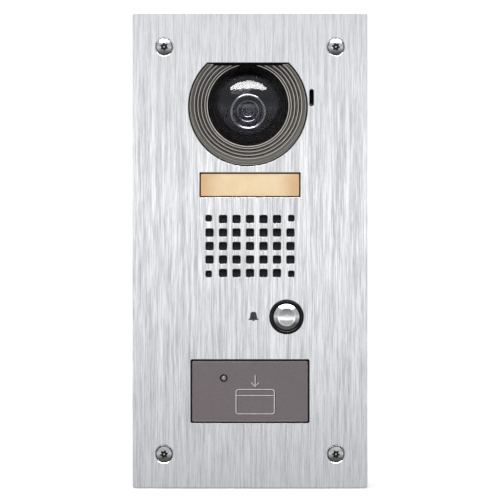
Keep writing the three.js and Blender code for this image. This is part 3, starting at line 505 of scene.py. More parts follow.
def grain_group():
    """Fine moulded or cast grain."""
    inputs = (("Size", 0.0004), ("Detail", 3.0))
    group, given, wanted = new_group("Fine Grain", inputs, ("Mask", "Height"))
    place = object_place(group)
    scale = math_node(group, "DIVIDE", 1.0, given["Size"])
    noise = noise_node(group, place, scale, given["Detail"], Roughness=0.6)
    pits = add_node(
        group, "ShaderNodeTexVoronoi", {"Vector": place, "Scale": scale}, feature="F1"
    ).outputs["Distance"]
    height = math_node(group, "MULTIPLY", noise, pits)
    group.links.new(scaled(group, noise, 0.3, 0.7), wanted["Mask"])
    group.links.new(height, wanted["Height"])
    return group


def edges_group():
    """Where handling has rubbed the edges."""
    inputs = (("Reach", 0.0004), ("Patchiness", 0.5))
    group, given, wanted = new_group("Rubbed Edges", inputs, ("Mask",))
    rounded = add_node(
        group, "ShaderNodeBevel", {"Radius": given["Reach"]}, samples=4
    ).outputs[0]
    true_face = add_node(group, "ShaderNodeNewGeometry").outputs["Normal"]
    along = add_node(
        group, "ShaderNodeVectorMath", {0: rounded, 1: true_face}, operation="DOT_PRODUCT"
    ).outputs["Value"]
    edge = scaled(group, along, 0.995, 0.8)
    patches = noise_node(group, object_place(group), 320.0, 3.0)
    patch = scaled(group, patches, 0.35, 0.65)
    bare = math_node(group, "SUBTRACT", 1.0, patch)
    gaps = math_node(group, "MULTIPLY", bare, given["Patchiness"])
    kept = math_node(group, "SUBTRACT", 1.0, gaps, clamp=True)
    group.links.new(math_node(group, "MULTIPLY", edge, kept), wanted["Mask"])
    return group


def dust_group():
    """Thin dust on what faces up, thicker in patches."""
    inputs = (("Amount", 0.3),)
    group, given, wanted = new_group("Settled Dust", inputs, ("Mask",))
    face = add_node(group, "ShaderNodeNewGeometry").outputs["Normal"]
    upward = add_node(group, "ShaderNodeSeparateXYZ", {0: face}).outputs["Z"]
    lying = scaled(group, upward, 0.1, 0.95)
    noise = noise_node(group, object_place(group), 140.0, 5.0)
    patch = scaled(group, noise, 0.3, 0.7, 0.35, 1.0)
    spread = math_node(group, "MULTIPLY", lying, patch)
    group.links.new(math_node(group, "MULTIPLY", spread, given["Amount"]), wanted["Mask"])
    return group


def smudge_group():
    """Soft smears and wiped patches that change how sharply a surface shines."""
    inputs = (("Size", 0.03), ("Amount", 1.0))
    group, given, wanted = new_group("Wiped Smudges", inputs, ("Mask",))
    scale = math_node(group, "DIVIDE", 1.0, given["Size"])
    noise = noise_node(group, object_place(group), scale, 4.0, Roughness=0.55, Distortion=0.6)
    patch = scaled(group, noise, 0.38, 0.68)
    group.links.new(math_node(group, "MULTIPLY", patch, given["Amount"]), wanted["Mask"])
    return group


def rings_group():
    """Fine rings left by a lathe, round a line along y."""
    inputs = (("Centre X", 0.0), ("Centre Z", 0.0), ("Pitch", 0.0002))
    group, given, wanted = new_group("Turned Rings", inputs, ("Mask", "Height"))
    parts = object_parts(group)
    centre = (given["Centre X"], given["Centre Z"])
    squares = squared_distance(group, parts["X"], parts["Z"], *centre)
    radius = math_node(group, "SQRT", squares)
    steps = math_node(group, "DIVIDE", radius, given["Pitch"])
    rings = add_node(
        group,
        "ShaderNodeTexNoise",
        {"W": steps, "Scale": 1.0, "Detail": 2.0},
        noise_dimensions="1D",
    ).outputs[0]
    group.links.new(scaled(group, rings, 0.3, 0.7), wanted["Mask"])
    group.links.new(rings, wanted["Height"])
    return group


def ridges_group():
    """Which part of the ridged funnel a place is in, by its distance from the middle: the grooves get painted
    shade, the ridge lips painted highlight.
    """
    inputs = (("Centre X", 0.0), ("Centre Z", 0.0), ("Start", 0.0232), ("Pitch", 0.002))
    group, given, wanted = new_group("Funnel Ridges", inputs, ("Groove Shade", "Lip Highlight", "Rim"))
    parts = object_parts(group)
    centre = (given["Centre X"], given["Centre Z"])
    squares = squared_distance(group, parts["X"], parts["Z"], *centre)
    radius = math_node(group, "SQRT", squares)
    past_start = math_node(group, "SUBTRACT", radius, given["Start"])
    along = math_node(group, "DIVIDE", past_start, given["Pitch"])
    share = math_node(group, "FRACT", along)
    opening = scaled(group, share, 0.02, 0.12)
    closing = scaled(group, share, 0.68, 0.58)
    inside = scaled(group, along, 4.02, 3.96)
    # Painted shade: this mask darkens the grooves between the ridges.
    groove = math_node(group, "MULTIPLY", math_node(group, "MULTIPLY", opening, closing), inside)
    group.links.new(groove, wanted["Groove Shade"])
    rise = scaled(group, share, 0.7, 0.8)
    fall = scaled(group, share, 1.0, 0.93)
    # Painted highlight: this mask lightens the crest of each ridge.
    lip = math_node(group, "MULTIPLY", math_node(group, "MULTIPLY", rise, fall), inside)
    group.links.new(math_node(group, "MULTIPLY", lip, 0.8), wanted["Lip Highlight"])
    group.links.new(scaled(group, along, 4.0, 4.3), wanted["Rim"])
    return group


def spangle_group():
    """Frosted crystal pattern of hot-dip zinc."""
    inputs = (("Size", 0.006),)
    group, given, wanted = new_group("Zinc Spangle", inputs, ("Mask", "Height"))
    place = object_place(group)
    scale = math_node(group, "DIVIDE", 1.0, given["Size"])
    warp = add_node(
        group, "ShaderNodeTexNoise", {"Vector": place, "Scale": scale, "Detail": 2.0}
    ).outputs["Color"]
    shift = add_node(
        group, "ShaderNodeVectorMath", {0: warp, "Scale": 0.0035}, operation="SCALE"
    ).outputs[0]
    bent = add_node(
        group, "ShaderNodeVectorMath", {0: place, 1: shift}, operation="ADD"
    ).outputs[0]
    cells = add_node(
        group, "ShaderNodeTexVoronoi", {"Vector": bent, "Scale": scale}, feature="F1"
    ).outputs["Color"]
    tone = add_node(group, "ShaderNodeSeparateColor", {0: cells}).outputs["Red"]
    frost = noise_node(group, place, 2200.0, 3.0)
    both = math_node(group, "MULTIPLY_ADD", tone, 0.75)
    frosted = math_node(group, "MULTIPLY", frost, 0.25)
    group.links.new(frosted, both.node.inputs[2])
    group.links.new(both, wanted["Mask"])
    group.links.new(frost, wanted["Height"])
    return group


def weave_group():
    """Plain weave of fine threads, lying flat in x and z."""
    inputs = (("Pitch", 0.0004),)
    group, given, wanted = new_group("Plain Weave", inputs, ("Mask", "Height"))
    parts = object_parts(group)
    turns = math_node(group, "DIVIDE", FULL_TURN, given["Pitch"])
    across = math_node(group, "SINE", math_node(group, "MULTIPLY", parts["X"], turns))
    along = math_node(group, "SINE", math_node(group, "MULTIPLY", parts["Z"], turns))
    product = math_node(group, "MULTIPLY", across, along)
    height = scaled(group, product, -1.0, 1.0)
    speck = noise_node(group, object_place(group), 1400.0, 2.0)
    mask = math_node(group, "MULTIPLY", height, scaled(group, speck, 0.35, 0.7))
    group.links.new(mask, wanted["Mask"])
    group.links.new(height, wanted["Height"])
    return group


def traces_group():
    """Copper lines under the solder mask of a circuit board."""
    inputs = (("Pitch", 0.0025),)
    group, given, wanted = new_group("Board Traces", inputs, ("Mask", "Height"))
    place = object_place(group)
    scale = math_node(group, "DIVIDE", 1.0, given["Pitch"])
    lines = add_node(
        group,
        "ShaderNodeTexVoronoi",
        {"Vector": place, "Scale": scale, "Randomness": 0.4},
        feature="DISTANCE_TO_EDGE",
    )
    mask = scaled(group, lines.outputs["Distance"], 0.1, 0.06)
    group.links.new(mask, wanted["Mask"])
    group.links.new(mask, wanted["Height"])
    return group


GROUPS = {
    "streaks": once(streaks_group),
    "grain": once(grain_group),
    "edges": once(edges_group),
    "dust": once(dust_group),
    "smudges": once(smudge_group),
    "rings": once(rings_group),
    "ridges": once(ridges_group),
    "spangle": once(spangle_group),
    "weave": once(weave_group),
    "traces": once(traces_group),
}


# ------------------------------------------------------------ finishes


def new_finish(name, **sockets):
    """New material with one Principled shader, with its plain values set."""
    finish = bpy.data.materials.new(name)
    finish.use_nodes = True
    tree = finish.node_tree
    shader = tree.nodes["Principled BSDF"]
    for key, value in sockets.items():
        shader.inputs[key.replace("_", " ")].default_value = value
    return finish, tree, shader


def set_look(tree, shader, base, mask, low, high):
    """Links the base colour, and a roughness that runs from low to high along a mask."""
    tree.links.new(base, shader.inputs["Base Color"])
    tree.links.new(scaled(tree, mask, 0.0, 1.0, low, high), shader.inputs["Roughness"])


def bump_into(tree, shader, height, depth, strength=1.0):
    bump = add_node(
        tree,
        "ShaderNodeBump",
        {"Height": height, "Distance": depth * MM, "Strength": strength},
    )
    tree.links.new(bump.outputs[0], shader.inputs["Normal"])


def brushed_steel(colours):
    finish, tree, shader = new_finish("brushed_stainless", Metallic=1.0)
    fine = use_group(tree, "streaks", width=0.00042, length=0.022, contrast=2.6)
    hair = use_group(tree, "streaks", width=0.00028, length=0.008, contrast=3.4)
    wiped = use_group(tree, "smudges", size=0.07, amount=0.5)
    rubbed = use_group(tree, "edges", reach=0.0003, patchiness=0.3)
    dark = rgba(colours.steel_dark)
    light = rgba(colours.steel_light)
    base = mixed_colour(tree, fine["Mask"], dark, light)
    base = mixed_colour(tree, math_node(tree, "MULTIPLY", hair["Mask"], 0.45), base, light)
    base = mixed_colour(tree, rubbed["Mask"], base, (0.9, 0.9, 0.91))
    tree.links.new(base, shader.inputs["Base Color"])
    rough = scaled(tree, fine["Mask"], 0.0, 1.0, 0.31, 0.22)
    smeared = math_node(tree, "MULTIPLY_ADD", wiped["Mask"], 0.06)
    tree.links.new(rough, smeared.node.inputs[2])
    tree.links.new(smeared, shader.inputs["Roughness"])
    bump_into(tree, shader, fine["Height"], 0.02, 0.35)
    return finish


def ridged_bezel(colours):
    """Moulded bezel: painted shade in the grooves, ridge lips lightened by rubbed wear and a painted highlight,
    and a smooth satin rim.
    """
    finish, tree, shader = new_finish("bezel_plastic", Specular_IOR_Level=0.22)
    grain = use_group(tree, "grain", size=0.0004)
    rubbed = use_group(tree, "edges", reach=0.0005, patchiness=0.2)
    smears = use_group(tree, "smudges", size=0.012, amount=1.0)
    dust = use_group(tree, "dust", amount=0.16)
    ridges = use_group(tree, "ridges", centre_x=DOME.x * MM, centre_z=DOME.z * MM)
    base = mixed_colour(
        tree, grain["Mask"], colours.bezel_dark, colours.bezel_light
    )
    # Painted shade: the grooves between the ridges are coloured near black.
    base = mixed_colour(tree, ridges["Groove Shade"], base, (0.006, 0.0055, 0.005))
    base = mixed_colour(tree, ridges["Rim"], base, colours.bezel_rim)
    # The light lip colour is partly rubbed edge wear and partly a painted highlight on the ridge crests.
    lip = math_node(tree, "MAXIMUM", rubbed["Mask"], ridges["Lip Highlight"])
    base = mixed_colour(tree, lip, base, colours.bezel_lip_wear_and_highlight)
    base = mixed_colour(tree, dust["Mask"], base, (0.3, 0.285, 0.26))
    set_look(tree, shader, base, smears["Mask"], 0.28, 0.4)
    bump_into(tree, shader, grain["Height"], 0.01, 0.5)
    return finish


def recess_shade_mask(tree):
    """The drive recesses of the four corner screws, where painted shade darkens the inside."""
    screw = middle_mm(SCREW_NODES[0])
    parts = object_parts(tree)
    x, z = (math_node(tree, "ABSOLUTE", parts[axis]) for axis in "XZ")
    squares = squared_distance(tree, x, z, abs(screw.x) * MM, abs(screw.z) * MM)
    near = scaled(tree, squares, 7.6e-6, 6.6e-6)
    top = box_mm(SCREW_NODES[0])[0].y * MM
    deep = scaled(tree, parts["Y"], top + 0.0004, top + 0.0007)
    return math_node(tree, "MULTIPLY", near, deep)


def polished_steel():
    finish, tree, shader = new_finish("polished_steel", Metallic=1.0)
    smears = use_group(tree, "smudges", size=0.006, amount=1.0)
    grain = use_group(tree, "grain", size=0.00015)
    base = mixed_colour(tree, smears["Mask"], (0.78, 0.78, 0.78), (0.68, 0.68, 0.69))
    # Painted shade: the inside of each screw's drive recess is coloured near black.
    base = mixed_colour(tree, recess_shade_mask(tree), base, (0.03, 0.028, 0.026))
    set_look(tree, shader, base, smears["Mask"], 0.12, 0.24)
    bump_into(tree, shader, grain["Height"], 0.004, 0.3)
    return finish


def black_chrome():
    finish, tree, shader = new_finish("black_chrome", Metallic=1.0)
    smears = use_group(tree, "smudges", size=0.003, amount=1.0)
    grain = use_group(tree, "grain", size=0.00015)
    base = mixed_colour(tree, smears["Mask"], (0.42, 0.42, 0.42), (0.32, 0.32, 0.33))
    set_look(tree, shader, base, smears["Mask"], 0.12, 0.2)
    bump_into(tree, shader, grain["Height"], 0.002, 0.3)
    return finish


def cap_steel():
    finish, tree, shader = new_finish("turned_steel", Metallic=1.0)
    rings = use_group(
        tree,
        "rings",
        centre_x=BUTTON.x * MM,
        centre_z=BUTTON.z * MM,
        pitch=0.00022,
    )
    smears = use_group(tree, "smudges", size=0.004, amount=1.0)
    base = mixed_colour(tree, rings["Mask"], (0.74, 0.73, 0.72), (0.88, 0.875, 0.87))
    base = mixed_colour(tree, smears["Mask"], base, (0.7, 0.69, 0.68))
    set_look(tree, shader, base, smears["Mask"], 0.09, 0.17)
    bump_into(tree, shader, rings["Height"], 0.003, 0.4)
    return finish


def galvanised_steel():
    finish, tree, shader = new_finish("galvanised_steel", Metallic=1.0)
    spangle = use_group(tree, "spangle", size=0.0055)
    rubbed = use_group(tree, "edges", reach=0.0006, patchiness=0.6)
    dust = use_group(tree, "dust", amount=0.35)
    base = mixed_colour(tree, spangle["Mask"], (0.4, 0.42, 0.44), (0.68, 0.7, 0.71))
    base = mixed_colour(tree, rubbed["Mask"], base, (0.8, 0.81, 0.82))
    base = mixed_colour(tree, dust["Mask"], base, (0.46, 0.44, 0.41))
    set_look(tree, shader, base, spangle["Mask"], 0.5, 0.3)
    bump_into(tree, shader, spangle["Height"], 0.02, 0.4)
    return finish


def zinc_hardware():
    finish, tree, shader = new_finish("zinc_hardware", Metallic=1.0)
    grain = use_group(tree, "grain", size=0.0003)
    smears = use_group(tree, "smudges", size=0.004, amount=1.0)
    base = mixed_colour(tree, grain["Mask"], (0.6, 0.6, 0.57), (0.74, 0.74, 0.7))
    base = mixed_colour(tree, smears["Mask"], base, (0.66, 0.64, 0.55))
    set_look(tree, shader, base, grain["Mask"], 0.42, 0.28)
    bump_into(tree, shader, grain["Height"], 0.01, 0.4)
    return finish


def moulded(
    name, dark, light, grain_size, shine, dust_amount=0.15, wear=None, depth=0.012, gloss=0.5
):
    """Moulded plastic or rubber: two close tones, grain, rubbed edges and a little dust."""
    finish, tree, shader = new_finish(name, Specular_IOR_Level=gloss)
    grain = use_group(tree, "grain", size=grain_size)
    smears = use_group(tree, "smudges", size=0.02, amount=1.0)
    dust = use_group(tree, "dust", amount=dust_amount)
    base = mixed_colour(tree, grain["Mask"], rgba(dark), rgba(light))
    if wear:
        rubbed = use_group(tree, "edges", reach=0.0003, patchiness=0.5)
        base = mixed_colour(tree, rubbed["Mask"], base, rgba(wear))
    base = mixed_colour(tree, dust["Mask"], base, (0.3, 0.285, 0.26))
    set_look(tree, shader, base, smears["Mask"], shine, min(1.0, shine + 0.14))
    bump_into(tree, shader, grain["Height"], depth, 0.5)
    return finish


def smoked_dome(colours):
    """Dark clear moulding that still lets the studio lights reach the lens behind it."""
    finish, tree, shader = new_finish(
        "smoked_dome", Transmission_Weight=1.0, IOR=1.38, Roughness=0.0
    )
    smears = use_group(tree, "smudges", size=0.012, amount=1.0)
    tint = mixed_colour(
        tree, smears["Mask"], colours.dome_tint, colours.dome_tint_deep
    )
    tree.links.new(tint, shader.inputs["Base Color"])
    clear = add_node(tree, "ShaderNodeBsdfTransparent", {"Color": rgba((0.62, 0.62, 0.66))})
    path = add_node(tree, "ShaderNodeLightPath")
    mix = add_node(
        tree,
        "ShaderNodeMixShader",
        {0: path.outputs["Is Shadow Ray"], 1: shader.outputs[0], 2: clear.outputs[0]},
    )
    tree.links.new(mix.outputs[0], tree.nodes["Material Output"].inputs["Surface"])
    return finish


def lens_glass():
    finish, tree, shader = new_finish(
        "lens_glass", Coat_Weight=1.0, Coat_Roughness=0.01, Specular_IOR_Level=0.6
    )
    rings = use_group(
        tree, "rings", centre_x=PIVOT.x * MM, centre_z=PIVOT.z * MM, pitch=0.0012
    )
    smears = use_group(tree, "smudges", size=0.003, amount=1.0)
    base = mixed_colour(tree, rings["Mask"], (0.004, 0.006, 0.012), (0.02, 0.016, 0.05))
    set_look(tree, shader, base, smears["Mask"], 0.02, 0.06)
    return finish


def amber_window(colours):
    """Amber pane with a painted glow, as if lit from behind, and warmest towards its ends."""
    finish, tree, shader = new_finish(
        "amber_window", Emission_Strength=0.13, Coat_Weight=0.4, Coat_Roughness=0.08
    )
    centred = add_node(
        tree,
        "ShaderNodeMapping",
        {"Vector": object_place(tree), "Location": (-NAME.x * MM, 0, -NAME.z * MM)},
    ).outputs[0]
    parts = add_node(tree, "ShaderNodeSeparateXYZ", {0: centred}).outputs
    sideways = math_node(tree, "ABSOLUTE", parts["X"])
    upright = math_node(tree, "ABSOLUTE", parts["Z"])
    ends = scaled(tree, sideways, 0.014, 0.0295)
    rims = scaled(tree, upright, 0.0045, 0.0072, 0.0, 0.45)
    outer = math_node(tree, "MAXIMUM", ends, rims)
    cloud = use_group(tree, "smudges", size=0.009, amount=0.22)
    fibre = use_group(tree, "grain", size=0.0005)
    shade = math_node(tree, "ADD", outer, cloud["Mask"], clamp=True)
    base = mixed_colour(tree, shade, colours.amber_centre, colours.amber_end)
    speck = math_node(tree, "MULTIPLY", fibre["Mask"], 0.12)
    base = mixed_colour(tree, speck, base, (0.55, 0.33, 0.14))
    # Painted glow: the pane gives off its own colour as light, though no lamp is behind it.
    tree.links.new(base, shader.inputs["Emission Color"])
    set_look(tree, shader, base, fibre["Mask"], 0.3, 0.4)
    bump_into(tree, shader, fibre["Height"], 0.008, 0.3)
    return finish


def name_card():
    finish, tree, shader = new_finish("name_card")
    fibre = use_group(tree, "grain", size=0.0003)
    stain = use_group(tree, "smudges", size=0.01, amount=0.5)
    base = mixed_colour(tree, fibre["Mask"], (0.82, 0.79, 0.7), (0.9, 0.88, 0.8))
    base = mixed_colour(tree, stain["Mask"], base, (0.8, 0.72, 0.58))
    set_look(tree, shader, base, fibre["Mask"], 0.7, 0.85)
    bump_into(tree, shader, fibre["Height"], 0.02, 0.5)
    return finish


def clear_plastic():
    finish, tree, shader = new_finish("clear_plastic", Transmission_Weight=0.85, IOR=1.49)
    grain = use_group(tree, "grain", size=0.0006)
    smears = use_group(tree, "smudges", size=0.008, amount=1.0)
    base = mixed_colour(tree, grain["Mask"], (0.78, 0.8, 0.81), (0.88, 0.9, 0.9))
    set_look(tree, shader, base, smears["Mask"], 0.08, 0.25)
    bump_into(tree, shader, grain["Height"], 0.01, 0.3)
    return finish


def led_lens():
    finish, tree, shader = new_finish(
        "led_lens", Emission_Strength=0.6, Coat_Weight=0.6, Coat_Roughness=0.05
    )
    grain = use_group(tree, "grain", size=0.0003)
    smears = use_group(tree, "smudges", size=0.002, amount=1.0)
    base = mixed_colour(tree, smears["Mask"], (0.95, 0.7, 0.3), (0.98, 0.84, 0.55))
    tree.links.new(base, shader.inputs["Emission Color"])
    set_look(tree, shader, base, grain["Mask"], 0.2, 0.4)
    return finish


def circuit_board():
    finish, tree, shader = new_finish("circuit_board", Coat_Weight=0.3, Coat_Roughness=0.2)
    traces = use_group(tree, "traces", pitch=0.0026)
    grain = use_group(tree, "grain", size=0.0005)
    dust = use_group(tree, "dust", amount=0.25)
    base = mixed_colour(tree, grain["Mask"], (0.012, 0.11, 0.045), (0.02, 0.15, 0.065))
    base = mixed_colour(tree, traces["Mask"], base, (0.022, 0.17, 0.07))
    base = mixed_colour(tree, dust["Mask"], base, (0.3, 0.3, 0.26))
    set_look(tree, shader, base, traces["Mask"], 0.42, 0.28)
    bump_into(tree, shader, traces["Height"], 0.03, 0.5)
    return finish


def acoustic_cloth():
    finish, tree, shader = new_finish("acoustic_cloth", Specular_IOR_Level=0.15)
    weave = use_group(tree, "weave", pitch=0.0011)
    dust = use_group(tree, "smudges", size=0.01, amount=0.5)
    base = mixed_colour(tree, weave["Mask"], (0.003, 0.003, 0.0035), (0.035, 0.035, 0.036))
    base = mixed_colour(tree, dust["Mask"], base, (0.015, 0.014, 0.013))
    set_look(tree, shader, base, weave["Height"], 0.9, 0.55)
    bump_into(tree, shader, weave["Height"], 0.12, 0.8)
    return finish


def cone_paper():
    finish, tree, shader = new_finish("cone_paper")
    fibre = use_group(tree, "grain", size=0.0007)
    rings = use_group(
        tree, "rings", centre_x=GRILLE.x * MM, centre_z=GRILLE.z * MM, pitch=0.0009
    )
    base = mixed_colour(tree, fibre["Mask"], (0.012, 0.011, 0.01), (0.03, 0.027, 0.025))
    set_look(tree, shader, base, fibre["Mask"], 0.8, 0.95)
    bump_into(tree, shader, rings["Height"], 0.08, 0.5)
    return finish


def ink(name, dark, light):
    """Screen-printed ink: nearly even, a little thin in places."""
    finish, tree, shader = new_finish(name)
    thin = use_group(tree, "smudges", size=0.0015, amount=1.0)
    grain = use_group(tree, "grain", size=0.00015)
    base = mixed_colour(tree, thin["Mask"], rgba(dark), rgba(light))
    set_look(tree, shader, base, grain["Mask"], 0.42, 0.55)
    bump_into(tree, shader, grain["Height"], 0.004, 0.3)
    return finish


BUILT_FINISHES = {}


def finish_for(slot):
    """The material of a slot, built the first time that it is wanted."""
    if slot not in BUILT_FINISHES:
        BUILT_FINISHES[slot] = FINISHES[slot](bpy.context.scene.door_panel_colours)
    return BUILT_FINISHES[slot]


FINISHES = {
    "brushed_stainless": brushed_steel,
    "polished_steel": lambda colours: polished_steel(),
    "turned_steel": lambda colours: cap_steel(),
    "galvanised_steel": lambda colours: galvanised_steel(),
    "zinc_hardware": lambda colours: zinc_hardware(),
    "black_plastic": lambda colours: moulded(
        "black_plastic", (0.010, 0.010, 0.011), (0.018, 0.018, 0.019), 0.0005, 0.34,
        wear=(0.05, 0.05, 0.052),
    ),
    "lamp_lens": lambda colours: moulded(
        "lamp_lens", (0.2, 0.19, 0.18), (0.34, 0.33, 0.32), 0.0004, 0.08, dust_amount=0.0,
        depth=0.002,
    ),
    "matt_black": lambda colours: moulded(
        "matt_black_plastic", (0.003, 0.003, 0.0035), (0.006, 0.006, 0.007), 0.0004, 0.5,
        dust_amount=0.0, depth=0.004, gloss=0.05,
    ),
    "black_chrome": lambda colours: black_chrome(),
    "gloss_black": lambda colours: moulded(
        "gloss_black_plastic", (0.004, 0.004, 0.005), (0.008, 0.008, 0.009), 0.0005, 0.1,
        dust_amount=0.02, depth=0.002, gloss=0.22,
    ),
    "bezel_plastic": ridged_bezel,
    "foam": lambda colours: moulded(
        "foam", (0.010, 0.010, 0.010), (0.028, 0.028, 0.028), 0.0007, 0.84, depth=0.15,
    ),
    "black_rubber": lambda colours: moulded(
        "black_rubber", (0.010, 0.010, 0.010), (0.018, 0.018, 0.018), 0.0009, 0.6, 0.3,
    ),
    "smoked_dome": smoked_dome,
    "lens_glass": lambda colours: lens_glass(),
    "amber_window": amber_window,
    "name_card": lambda colours: name_card(),
    "clear_plastic": lambda colours: clear_plastic(),
    "led_lens": lambda colours: led_lens(),
    "circuit_board": lambda colours: circuit_board(),
    "acoustic_cloth": lambda colours: acoustic_cloth(),
    "cone_paper": lambda colours: cone_paper(),
    "reader_plastic": lambda colours: moulded(
        "reader_plastic", rgba(colours.reader_dark), rgba(colours.reader_light), 0.0005, 0.4,
        dust_amount=0.05, wear=(0.34, 0.31, 0.31), depth=0.01,
    ),
    "terminal_plastic": lambda colours: moulded(
        "terminal_plastic", (0.02, 0.16, 0.05), (0.035, 0.21, 0.07), 0.0005, 0.4,
    ),
    "dark_ink": lambda colours: ink("dark_ink", (0.012, 0.012, 0.014), (0.03, 0.03, 0.033)),
    "pale_ink": lambda colours: ink("pale_ink", (0.5, 0.48, 0.47), (0.64, 0.62, 0.61)),
}


# ------------------------------------------------------------ settings that a user may change


def length(name, description, default, low, high):
    return FloatProperty(
        name=name, description=description, default=default, min=low, max=high,
        unit="LENGTH", precision=5,
    )


def colour(name, description, default):
    return FloatVectorProperty(
        name=name, description=description, default=default, min=0, max=1, subtype="COLOR"
    )


class PlateSettings(bpy.types.PropertyGroup):
    edge: length(
        "Edge Radius", "Radius on the plate's edges and holes",
        0.00034, 0.00005, 0.0006,
    )
    dimple: length(
        "Dimple Radius", "Radius of the sunk seat round each corner screw",
        0.0056, 0.0048, 0.0065,
    )
    opening_radius: length(
        "Camera Opening", "Radius of the round camera opening",
        0.03435, 0.025, 0.045,
    )
    opening_flat: length(
        "Flat Top", "Height of the opening's flat top over its middle",
        0.0252, 0.02, 0.034,
    )


class CameraSettings(bpy.types.PropertyGroup):
    funnel_radius: length(
        "Funnel Radius", "Inner radius of the ridged funnel round the dome",
        0.023, 0.015, 0.03,
    )
    ridges: IntProperty(
        name="Ridges", description="Number of steps in the funnel", default=4, min=1, max=8,
    )
    dome_radius: length(
        "Dome Radius", "Outer radius of the smoked dome",
        0.0275, 0.02, 0.04,
    )


class ButtonSettings(bpy.types.PropertyGroup):
    chamfer: length(
        "Cap Chamfer", "Width of the bright chamfer round the cap",
        0.0024, 0.0005, 0.004,
    )
    dish: length(
        "Cap Dish", "Depth of the dish in the middle of the cap",
        0.0005, 0.0, 0.001,
    )


class SymbolSettings(bpy.types.PropertyGroup):
    line: length(
        "Line Width", "Width of the printed lines",
        0.00052, 0.0003, 0.0015,
    )
    bell: length(
        "Bell Height", "Height of the printed bell",
        0.0052, 0.002, 0.012,
    )


class StudioSettings(bpy.types.PropertyGroup):
    distance: FloatProperty(
        name="Camera Distance", description="From the camera to the faceplate",
        default=1.5, min=0.5, max=4.0, unit="LENGTH",
    )
    view_height: length(
        "View Height", "Height that the picture takes in at the faceplate",
        0.28725, 0.1, 1.0,
    )
    softbox: FloatProperty(
        name="Softbox", description="Brightness of the softbox that shows in the camera dome",
        default=20.0, min=0.0, max=500.0,
    )
    surround: FloatProperty(
        name="Surround", description="Brightness of the white studio round the object",
        default=0.95, min=0.0, max=4.0,
    )


class ColourSettings(bpy.types.PropertyGroup):
    steel_dark: colour("Steel, Dark Lines", "Colour of the deeper belt lines", (0.53, 0.54, 0.56))
    steel_light: colour(
        "Steel, Light Lines", "Colour of the brighter belt lines", (0.91, 0.915, 0.93)
    )
    bezel_dark: colour("Bezel, Dark", "Darker tone of the camera bezel", (0.032, 0.028, 0.025))
    bezel_light: colour("Bezel, Light", "Lighter tone of the camera bezel", (0.052, 0.047, 0.042))
    bezel_rim: colour(
        "Bezel, Rim", "Tone of the smooth band at the bezel's outside", (0.115, 0.107, 0.094)
    )
    # The ridge lip tone is partly rubbed wear and partly painted highlight.
    bezel_lip_wear_and_highlight: colour("Bezel, Ridge Lips", "Tone of the ridge lips, rubbed wear and painted highlight", (0.66, 0.62, 0.57))
    dome_tint: colour("Dome", "Tint of the smoked dome", (0.62, 0.62, 0.68))
    dome_tint_deep: colour("Dome, Deep", "Deeper tint of the smoked dome", (0.56, 0.56, 0.62))
    amber_centre: colour("Amber, Middle", "Colour of the name window's middle", (0.7, 0.55, 0.34))
    amber_end: colour("Amber, Ends", "Colour of the name window's ends", (0.55, 0.34, 0.17))
    reader_dark: colour("Reader, Dark", "Darker tone of the reader's cover", (0.112, 0.093, 0.097))
    reader_light: colour(
        "Reader, Light", "Lighter tone of the reader's cover", (0.146, 0.122, 0.127)
    )


# ------------------------------------------------------------ faceplate


